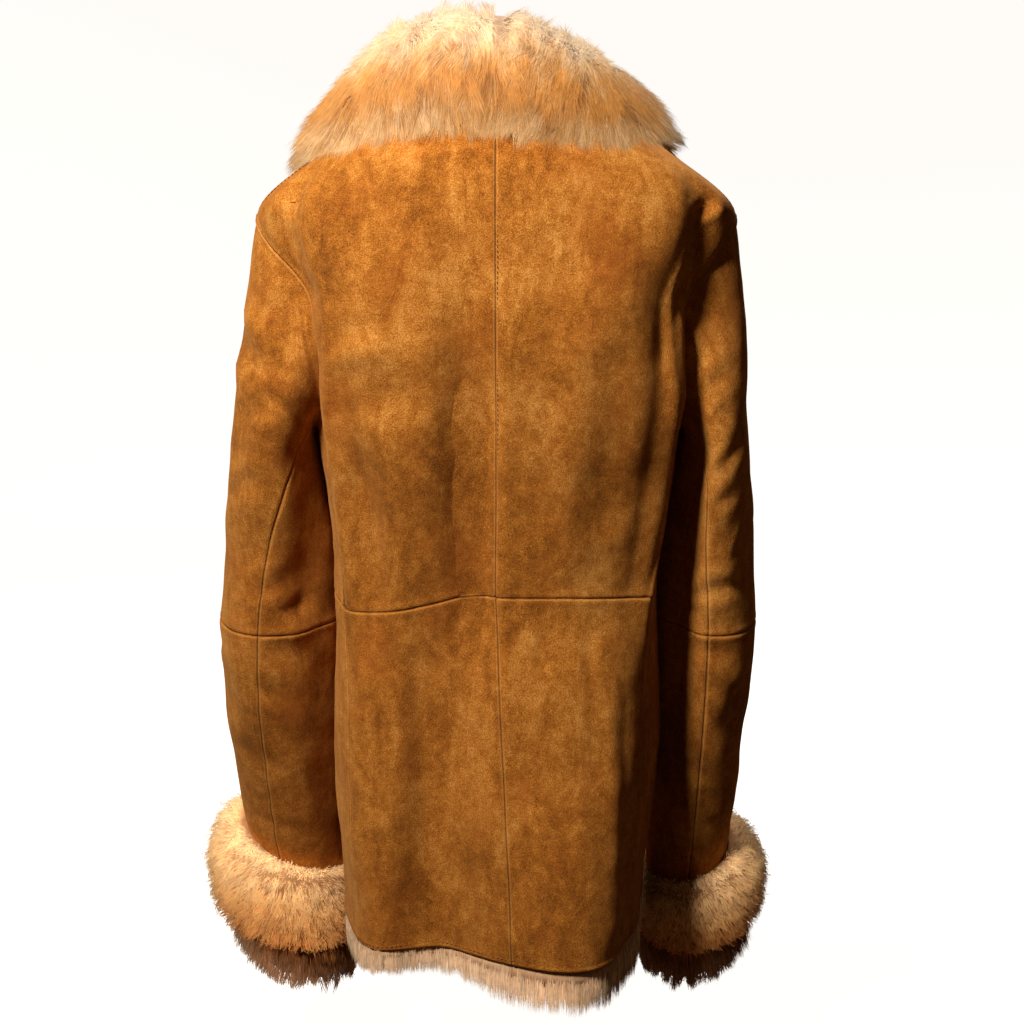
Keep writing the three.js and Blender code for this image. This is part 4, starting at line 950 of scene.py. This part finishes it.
# How much further the fur stands on its outer face, along the collar: it is full over the left shoulder and at the
# right end.
FULLNESS = ("i", "thick", "half")
COLLAR_FULLNESS = [
    (0, 1, 1), (4, 1.05, 1), (5, 1.3, 1.03), (6, 1.5, 1.08), (7, 1.05, 1.0), (8, 0.92, 1.0), (9, 1.02, 1.02),
    (10, 1.25, 1.07), (11, 0.95, 0.76), (12, 0.95, 0.86), (16, 1, 1),
]


def full_collar(i, t, scale_half, scale_thick, shift=0.0):
    """collar_at with the fullness of the outer face, which is the half from 0.5 to 1."""
    outer = smooth(-np.sin(2 * math.pi * np.asarray(t)) * 2)
    thick, half = (curve_through(COLLAR_FULLNESS, FULLNESS, name, i) for name in ("thick", "half"))
    return collar_at(i, t, scale_half * half, scale_thick * (1 + (thick - 1) * outer), shift)


def collar_facing(i, t):
    """Which way the collar's surface looks."""
    round_it = full_collar(i, t + 0.01, 1, 1) - full_collar(i, t - 0.01, 1, 1)
    along_it = full_collar(i + 0.02, t, 1, 1) - full_collar(i - 0.02, t, 1, 1)
    return unit(np.cross(round_it, along_it))


def off_the_body(points, clear):
    """Moves what would lie inside the shoulders out to their surface."""
    out = points.copy()
    x, y, z = points[..., 0], points[..., 1], points[..., 2]
    height = z.copy()
    for _ in range(3):
        ring = np.clip(height, -400, NECK_Z)
        half = curve_through(BODY_RINGS, RING, "half", ring)
        back, front = (curve_through(BODY_RINGS, RING, name, ring) for name in ("back", "front"))
        depth = np.where(y > 0, back, front)
        turn = np.arctan2(x / half, y / depth)
        lift = np.where(y > 0, *(curve_through(BODY_RINGS, RING, name, ring) for name in ("back_lift", "front_lift")))
        height = z - lift * np.cos(turn) ** 2
    share = np.hypot(x / half, y / depth)
    inside = (share < 1 + clear / half) & (height < NECK_Z) & (share > 0.45)
    push = np.where(inside, (1 + clear / half) / np.maximum(share, 0.1), 1)
    out[..., 0] *= push
    out[..., 1] *= push
    return out


def fur_mass(name, i_from, i_to, rows, columns, scale_half, scale_thick, seed):
    """The mass under the hair: closed, lumpy, and inside the hair's own reach."""
    i = np.linspace(i_from, i_to, rows)[:, None]
    t = np.linspace(0, 1, columns, endpoint=False)[None]
    points = full_collar(i, t, scale_half, scale_thick, -0.1)
    centre = points.mean(1, keepdims=True)
    lumps = 1 + undulation(points, seed, 26, 0.05) + undulation(points, seed + 1, 11, 0.03)
    points = off_the_body(centre + (points - centre) * lumps[..., None], 0.8)
    band = (1 - np.cos(2 * math.pi * t)) / 2 * -1 + 1
    # a low along and tone give the mass the dark root colour: painted shade under the hair
    return closed_tube(name, points, band, 0.5, 0.3, 0.35)


# Which share of the collar's hair lies outside, which stands off the roll, and how many hairs there are on each side.
OUTER_HAIR, STANDING_HAIR, EDGE_T = 0.70, 0.84, 0.87
COLLAR_HAIRS, LAPEL_HAIRS = 23500, 4500


def collar_hair(name, i_from, i_to, count, locks, seed):
    """Hair of three kinds: it lies down the outer face to the edge, stands off the roll, and lines the inner face."""
    random = np.random.default_rng(seed)
    i = random.uniform(i_from, i_to, count)
    kind = random.uniform(0, 1, count)
    outer, standing = kind < OUTER_HAIR, (kind >= OUTER_HAIR) & (kind < STANDING_HAIR)
    t = np.where(outer, random.uniform(0.5, 0.99, count), random.uniform(0.02, 0.46, count))
    t = np.where(standing, random.uniform(0.42, 0.64, count), t)
    reach = random.uniform(0.06, 0.16, count)
    tip_t = np.where(outer, np.minimum(t + reach, 0.985), np.maximum(t - reach, 0.03))
    tip_t = np.where(standing, t + random.uniform(-0.05, 0.06, count), tip_t)
    root = full_collar(i, t, 0.60, 0.50, -0.1)
    edge = np.clip((np.cos(2 * math.pi * tip_t) - 0.55) / 0.45, 0, 1)
    out = random.normal(1.0, 0.05, count) + np.where(standing, random.uniform(0, 0.14, count), 0)
    sweep = undulation(root, seed + 7, 34, 0.16) + undulation(root, seed + 8, 13, 0.10)
    tip = full_collar(i + sweep + random.normal(0, 0.05, count), tip_t, out, out)
    fall = unit(collar_at(i, 0 * tip_t, 1.0, 0.0) - collar_at(i, 0 * tip_t, 0.5, 0.0))
    tip = tip + fall * (edge * random.uniform(-9, 13, count))[:, None]
    tip, lock = gather(random, np.stack([i * 45, t * 170], -1), tip, locks, 0.72, 1.8)
    # at the edge every hair is shaded as the outer face is there, which is what shows
    looks = np.where(outer, np.minimum(blend(t, tip_t, 0.5), EDGE_T), np.where(t < 0.14, EDGE_T, t))
    facing = collar_facing(i, looks)
    middle = (root + tip) / 2 + facing * (random.uniform(2.0, 7.0, count) * (1 - 0.45 * edge))[:, None]
    root, middle, tip = (off_the_body(p, clear) for p, clear in ((root, 1.0), (middle, 3.0), (tip, 1.8)))

    def band_at(share):
        return (1 + np.cos(2 * math.pi * share)) / 2

    own_lock = random.uniform(0, 1, locks)[lock]
    tone = random.uniform(0, 1, count) * 0.5 + 0.5 * own_lock
    own = random.normal(0, 0.06, count) + 0.2 * (own_lock - 0.5)
    band = tuple(band_at(b) + own for b in (t, (t + tip_t) / 2, tip_t))
    return hair(name, root, middle, tip, random.uniform(0.22, 0.46, count), band, tone, facing)


# the stops at 0.88 and 1.0, by the lower edge, are darkened: partly the fur's colour and partly painted shade
collar_material = fur_material("Long fox-like collar fur", [
    (0.00, "#ECDCC8"), (0.30, "#E6CDAA"), (0.46, "#D9B07C"), (0.60, "#CC9650"), (0.76, "#BC8038"), (0.88, "#A87C42"),
    (1.0, "#C6A67C"),
], "#5E3010", 0.95, 0.25)
for name, i_from, i_to, rows in (
    ("lapel_left", 0.05, NOTCH - 0.02, 60), ("collar", NOTCH + 0.01, LAST_STATION - NOTCH - 0.01, 130),
    ("lapel_right", LAST_STATION - NOTCH + 0.02, LAST_STATION - 0.05, 60),
):
    mass = fur_mass(name, i_from, i_to, rows, 48, 0.74, 0.70, 40 + rows)
    mass.data.materials.append(collar_material)
    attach(mass, "root")
    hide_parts(name)
for name, i_from, i_to, count, locks, seed in (
    ("collar_hair_left", NOTCH + 0.05, 8.0, COLLAR_HAIRS, 900, 51),
    ("collar_hair_right", 8.0, LAST_STATION - NOTCH - 0.05, COLLAR_HAIRS, 900, 52),
    ("lapel_hair_left", 0.1, NOTCH - 0.05, LAPEL_HAIRS, 260, 53),
    ("lapel_hair_right", LAST_STATION - NOTCH + 0.05, LAST_STATION - 0.1, LAPEL_HAIRS, 260, 54),
):
    made = collar_hair(name, i_from, i_to, count, locks, seed)
    made.data.materials.append(collar_material)
    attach(made, "root")


# Fur cuffs.
# The sleeve's own long wool, turned back over its end: a full pale roll above, a darker band, partly brown wool and
# partly painted shade under the roll, and pointed locks below it.
# CUFF_PROFILE and LOCK_OUT: a place along the cuff, in millimetres down from the end of the sleeve, and the share of
# the fur's thickness there.
CUFF_PROFILE = [(-78, 0.12), (-74, 0.55), (-55, 0.88), (-28, 1), (0, 0.95), (22, 0.72), (40, 0.4), (48, 0.12)]
ROLL_END, LOCK_END = 0.0, 52.0
LOCK_OUT = [(-8, 0.92), (10, 0.88), (26, 0.76), (42, 0.56), (56, 0.3)]
# of each cuff: what its height is multiplied by above the sleeve's end, its thickness outside, inside and round it,
# and how far it is raised at the outside
CUFF_SIZES = {1: (1.0, 50, 4, 30, 24), -1: (0.84, 42, 4, 29, 14)}


def cuff_at(side, turn, along, scale, lift=0.0):
    """A point of the cuff: turn round the sleeve, along its profile, and a share of the fur's thickness there."""
    top, outside, inside, round_, up = CUFF_SIZES[side]
    turn, along, scale = np.broadcast_arrays(*(np.asarray(v, float) for v in (turn, along, scale)))
    share = np.cos(radians(turn))
    thick = blend(round_, np.where(share > 0, outside, inside), np.abs(share))
    raised = -up * (0.5 + 0.5 * share) * smooth((40 - along) / 80)
    place = sleeve_end + np.where(along < 0, along * top, along) + raised
    out = np.interp(along, [row[0] for row in CUFF_PROFILE], [row[1] for row in CUFF_PROFILE]) * thick * scale + lift
    return sleeve_point(side, turn, place) + sleeve_normal(side, turn, place) * out[..., None]


def cuff_mass(side, rows=40, columns=96):
    turn = np.linspace(0, 360, columns, endpoint=False)[None]
    along = np.linspace(-74, 38, rows)[:, None]
    outer = cuff_at(side, turn, along, np.where(along > ROLL_END, 0.5, 0.72))
    lumps = undulation(outer, 70, 17, 1.0) + undulation(outer, 71, 9, 0.6)
    normal = sleeve_normal(side, turn, sleeve_end + np.minimum(along, 0) + 0 * turn)
    outer = outer + normal * (lumps * np.minimum(1, np.arange(rows)[:, None] / 4))[..., None]
    within = cuff_at(side, turn, np.array([30.0, 10, 1, 1, -74])[:, None], 0.0,
                     np.array([-4.0, -8, -7.5, 1.0, 1.0])[:, None])
    points = np.concatenate([outer, within])
    total = len(points)
    index = np.arange(total * columns).reshape(total, columns)
    beside, below = np.roll(index, -1, 1), np.roll(index, -1, 0)
    faces = np.stack([index, beside, np.roll(below, -1, 1), below], -1).reshape(-1, 4)
    band = np.repeat(np.concatenate([np.linspace(0, 1, rows), [1, 0.9, 0.8, 0.8, 0]]), columns)
    # along and tone are low, so the mass takes the dark root colour: painted shade under the hair
    fixed = {"band": band, "along": np.full(len(band), 0.1), "tone": np.full(len(band), 0.1)}
    return mesh_object(f"cuff_{SIDES[side]}", points.reshape(-1, 3), faces, fixed)


def cuff_facing(side, turn, along):
    """Which way the cuff's surface looks."""
    round_it = cuff_at(side, turn + 2, along, 1) - cuff_at(side, turn - 2, along, 1)
    down_it = cuff_at(side, turn, along + 3, 1) - cuff_at(side, turn, along - 3, 1)
    way = unit(np.cross(round_it, down_it))
    out = sleeve_normal(side, turn, sleeve_end + np.minimum(along, 0))
    way *= np.sign((way * out).sum(-1, keepdims=True))
    return unit(way + 0.5 * out)


# The kinds of a cuff's hair: up to the first share at the very rim, to the second by the rim, past the third low down.
TOP_RIM, RIM_HAIR, LOW_HAIR = 0.08, 0.24, 0.72
CUFF_HAIRS, CUFF_LOCKS = 20000, 1500


def cuff_hair(side, count, locks, seed):
    """Hair of three kinds: curled locks on the roll, its upper rim, and long locks that come out under it."""
    random = np.random.default_rng(seed)
    turn = random.uniform(0, 360, count)
    kind = random.uniform(0, 1, count)
    rim, low = kind < RIM_HAIR, kind > LOW_HAIR
    along = random.uniform(-66, ROLL_END - 2, count)
    along = np.where(rim, random.uniform(-78, -73, count), along)
    along = np.where(kind < TOP_RIM, random.uniform(-75, -62, count), along)
    along = np.where(low, random.uniform(ROLL_END - 8, 40, count), along)
    sunk = np.where(low, random.uniform(0.1, 0.4, count), random.uniform(0.3, 0.62, count))
    root = cuff_at(side, turn, along, sunk)
    drop = np.where(low, random.uniform(16, 34, count), random.uniform(2, 13, count))
    drop = np.where(rim, random.uniform(-5, 6, count), drop)
    last = np.where(low, LOCK_END + random.uniform(-16, 6, count), ROLL_END + random.uniform(-5, 3, count))
    tip_along = np.maximum(np.minimum(along + drop, last), -77)
    held = np.minimum(tip_along, 46)
    profile = np.interp(held, [row[0] for row in CUFF_PROFILE], [row[1] for row in CUFF_PROFILE])
    over = random.normal(1.0, 0.06, count)
    over = np.where(rim, random.uniform(0.35, 1.1, count) / np.interp(tip_along, [-78, -55], [0.7, 1]), over)
    lock_out = np.interp(tip_along, [row[0] for row in LOCK_OUT], [row[1] for row in LOCK_OUT])
    over = np.where(low, lock_out / profile * random.uniform(0.7, 1.2, count), over)
    tip = cuff_at(side, turn + random.normal(0, 4, count), held, over)
    tip[:, 2] += np.where(rim, random.uniform(-1, 4, count), 0) - (tip_along - held)
    lock = np.zeros(count, int)
    for kept, number, hold in ((~low, locks, 0.66), (low, locks // 7, 0.88)):
        places = np.stack([turn * 1.3, along], -1)[kept]
        tip[kept], lock[kept] = gather(random, places, tip[kept], number, hold, 1.2)
    facing = cuff_facing(side, turn, np.where(low, -4.0, np.minimum(along, -8.0)))
    curl = random.normal(size=(count, 3)) * np.where(low, 0.9, 1.5)[:, None]
    away = np.where(low, random.uniform(1, 4, count), random.uniform(3, 8, count))
    middle = (root + tip) / 2 + facing * away[:, None] + curl
    own = random.normal(0, 0.04, count)
    band = tuple((a + 74) / 128 + own for a in (along, (along + tip_along) / 2, tip_along))
    # long locks start at the band's dark stop: partly brown wool and partly painted shade under the roll
    band = tuple(np.where(low, np.maximum(b + 0.08, 0.70), np.minimum(b + 0.05, 0.66)) for b in band)
    tone = random.uniform(0, 1, count) * 0.5 + 0.5 * random.uniform(0, 1, locks)[lock]
    radius = random.uniform(0.26, 0.46, count)
    return hair(f"cuff_hair_{SIDES[side]}", root, middle, tip, radius, band, tone, facing)


# the stop at 0.71 is the dark band just under the roll: partly brown wool and partly painted shade
cuff_material = fur_material("Long wool of the cuffs", [
    (0.00, "#F8D8AC"), (0.30, "#FFD296"), (0.50, "#FFC078"), (0.64, "#F0A058"), (0.71, "#7E4420"), (0.79, "#946038"),
    (1.0, "#CFA184"),
], "#B07440", 0.36, 0.2, 1.3, 0.3)
for side in (1, -1):
    mass = cuff_mass(side)
    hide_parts(f"cuff_{SIDES[side]}")
    for made in (mass, cuff_hair(side, CUFF_HAIRS, CUFF_LOCKS, 60 + side)):
        made.data.materials.append(cuff_material)
        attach(made, "root")


# Wool at the hem and the front edges.
# The wool side of the skirt panels stands out past the suede: straight, cream, in fine pointed locks, shorter at the
# left back than at the right.
WOOL_DEPTH, EDGE_WOOL = 12.0, 12.0
HEM_HAIRS, EDGE_HAIRS = 9500, 2500
WOOL_RISE = (WAIST_Z - HEM_Z) / 9
DROP = ("at", "drop")
WOOL_DROPS = [(-180, 36), (-90, 38), (-40, 42), (-5, 40), (14, 28), (45, 26), (90, 32), (180, 36)]
HEM_PROFILE = [(-1, -6.2), (0.02, -5.9), (0.05, -2.4), (0.2, -2.2), (0.36, -4.6), (0.3, -12), (0, -15), (-1, -14)]
EDGE_PROFILE = [(-9, -6.2), (0.5, -6.0), (1.2, -2.5), (5, -2.0), (8, -5), (7, -11), (0, -15), (-9, -13)]


def wool_drop(angle):
    return curve_through(WOOL_DROPS, DROP, "drop", angle)


def hem_mass(side):
    angles = np.linspace(-4.0 * side + 0.1, 166.4, 120)
    loops = []
    for share, out in HEM_PROFILE:
        drop = np.where(share > 0, wool_drop(side * angles), WOOL_RISE) * share
        loops.append(body_offset(side * angles, HEM_Z - drop, np.full(120, out)))
    # along 0.2 gives the wool mass part of the dark root colour: painted shade under the hair
    return closed_tube(f"hem_wool_{SIDES[side]}", np.stack(loops, 1), 0.4, 0.4, 0.2, 0.4)


def edge_mass(side):
    z = np.linspace(HEM_Z - 22, BREAK_Z - 22, 90)
    corner = blend(seam_angle(z, "side_front"), seam_angle(z, "roll_line"), 6 / 7) + 0.1
    loops = []
    for past, out in EDGE_PROFILE:
        angle = corner if past < 0 else 175 + degrees_for(z, past * 0.8)
        loops.append(body_offset(side * angle, z, np.full(90, out)))
    # along 0.2 gives the wool mass part of the dark root colour: painted shade under the hair
    return closed_tube(f"edge_wool_{SIDES[side]}", np.stack(loops, 1), 0.4, 0.4, 0.2, 0.4)


def hem_hair(side, count, locks, seed):
    random = np.random.default_rng(seed)
    angle = random.uniform(-4.0 * side, 178.5, count)
    depth = random.uniform(0, 1, count) ** 1.6
    root_out = -4.6 - depth * (WOOL_DEPTH - 2)
    root = body_offset(side * angle, HEM_Z + random.uniform(0.5, 14, count), root_out)
    drop = wool_drop(side * angle) * (1.02 - 0.5 * random.uniform(0, 1, count) ** 2.0)
    leaning = random.normal(0, 1.1, count)
    tip = body_offset(side * (angle + leaning), HEM_Z - drop, -1.0 - depth * (WOOL_DEPTH + 1) - 0.1 * drop * depth)
    tip, lock = gather(random, np.stack([angle * 2.6, depth * 12], -1), tip, locks, 0.6, 1.3)
    facing = body_normal(side * angle, np.full(count, HEM_Z))
    middle = (root + tip) / 2 + facing * random.uniform(0.5, 3.0, count)[:, None]
    tone = random.uniform(0, 1, count) * 0.6 + 0.4 * random.uniform(0, 1, locks)[lock]
    own = random.normal(0.4, 0.12, count)
    radius = random.uniform(0.24, 0.42, count)
    return hair(f"hem_hair_{SIDES[side]}", root, middle, tip, radius, (own, own + 0.1, own + 0.3), tone, facing)


def edge_hair(side, count, locks, seed):
    random = np.random.default_rng(seed)
    z = random.uniform(HEM_Z - 4, BREAK_Z - 24, count)
    depth = random.uniform(0, 1, count)
    root = body_offset(side * (174.5 + 0 * z), z, -4.8 - depth * 9)
    past = EDGE_WOOL * random.uniform(0.6, 1.05, count)
    low = z - random.uniform(2, 14, count)
    tip = body_offset(side * (175 + degrees_for(z, past * 0.8)), low, -1 - depth * 12)
    tip, lock = gather(random, np.stack([z, depth * 12], -1), tip, locks, 0.5, 1.0)
    middle = (root + tip) / 2 + random.normal(0, 0.6, (count, 3))
    tone = random.uniform(0, 1, count)
    own = random.normal(0.4, 0.12, count)
    radius, facing = random.uniform(0.24, 0.42, count), body_normal(side * (174.5 + 0 * z), z)
    return hair(f"edge_hair_{SIDES[side]}", root, middle, tip, radius, (own, own, own + 0.2), tone, facing)


wool_material = fur_material("Cream wool of the skin's inside", [
    (0.00, "#E0B48E"), (0.30, "#EEC8A4"), (0.60, "#F8DABC"), (1.0, "#FFE8D0"),
], "#A87850", 0.5, 0.2)
for side in (1, -1):
    hem, edge = hem_mass(side), edge_mass(side)
    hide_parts(f"hem_wool_{SIDES[side]}")
    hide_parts(f"edge_wool_{SIDES[side]}")
    hairs = hem_hair(side, HEM_HAIRS, 420, 80 + side), edge_hair(side, EDGE_HAIRS, 160, 90 + side)
    for made in (hem, edge, *hairs):
        made.data.materials.append(wool_material)
        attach(made, "root")


# Room, light and camera.
# A pale floor that curves up all round, a soft light high on the camera's left, a weaker one on the far side, and the
# camera at the photo's place: behind the back of the coat and looking a little down on it.
def backdrop():
    floor_z, reach, turn, height, steps_round, steps_up = -0.97, 2.8, 0.6, 3.2, 64, 12
    profile = [(0.4, floor_z), (reach, floor_z)]
    for k in range(1, steps_up + 1):
        a = math.pi / 2 * k / steps_up
        profile.append((reach + turn * math.sin(a), floor_z + turn * (1 - math.cos(a))))
    profile.append((reach + turn, height))
    points = [(0, 0, floor_z)]
    for radius, z in profile:
        for k in range(steps_round):
            a = 2 * math.pi * k / steps_round
            points.append((radius * math.cos(a), radius * math.sin(a), z))
    faces = [(0, 1 + k, 1 + (k + 1) % steps_round) for k in range(steps_round)]
    for row in range(len(profile) - 1):
        here, above = 1 + row * steps_round, 1 + (row + 1) * steps_round
        for k in range(steps_round):
            after = (k + 1) % steps_round
            faces.append((here + k, above + k, above + after, here + after))
    mesh = bpy.data.meshes.new("backdrop")
    mesh.from_pydata(points, [], faces)
    mesh.polygons.foreach_set("use_smooth", np.ones(len(faces), bool))
    made = bpy.data.objects.new("backdrop", mesh)
    bpy.context.scene.collection.objects.link(made)
    material, tree, shader = new_material("Pale studio paper")
    pale = linear("#FAFAFA")
    fill(tree, shader, {
        "Base Color": pale, "Roughness": 0.95, "Specular IOR Level": 0.1, "Emission Color": pale,
        "Emission Strength": 0.85,
    })
    mesh.materials.append(material)
    # the paper is bright to look at, but the coat is lit by the lamps alone, so its hollows stay dark
    made.visible_diffuse = made.visible_glossy = made.visible_shadow = False


def area_light(name, place, aim, size, power, colour):
    data = bpy.data.lights.new(name, "AREA")
    data.shape = "DISK"
    data.size = size
    data.energy = power
    data.color = linear(colour)[:3]
    made = bpy.data.objects.new(name, data)
    made.location = place
    direction = Vector([b - a for a, b in zip(place, aim)])
    made.rotation_mode = "QUATERNION"
    made.rotation_quaternion = direction.to_track_quat("-Z", "Y")
    bpy.context.scene.collection.objects.link(made)


backdrop()
area_light("key", (0.62, 1.0, 0.86), (0.0, 0.0, -0.25), 0.35, 42, "#FFF0DC")
area_light("front", (-0.5, -1.9, 1.5), (0.0, 0.0, -0.35), 1.0, 26, "#FFF0DC")
world = bpy.data.worlds.new("Studio")
world.use_nodes = True
world.node_tree.nodes["Background"].inputs["Color"].default_value = linear("#FFC690")
world.node_tree.nodes["Background"].inputs["Strength"].default_value = 0.05
bpy.context.scene.world = world
bpy.context.scene.view_settings.view_transform = "Standard"

SENSOR_MM, PHOTO_PIXELS, FOCAL_PIXELS = 36.0, 1024, 1815.0
camera_data = bpy.data.cameras.new("photo_view")
camera_data.sensor_width = SENSOR_MM
camera_data.lens = SENSOR_MM * FOCAL_PIXELS / PHOTO_PIXELS
camera = bpy.data.objects.new("photo_view", camera_data)
camera.location = (-0.0135, 1.61, -0.098)
camera.rotation_euler = (math.radians(90 - 9.9), 0, math.pi)
bpy.context.scene.collection.objects.link(camera)
bpy.context.scene.camera = camera
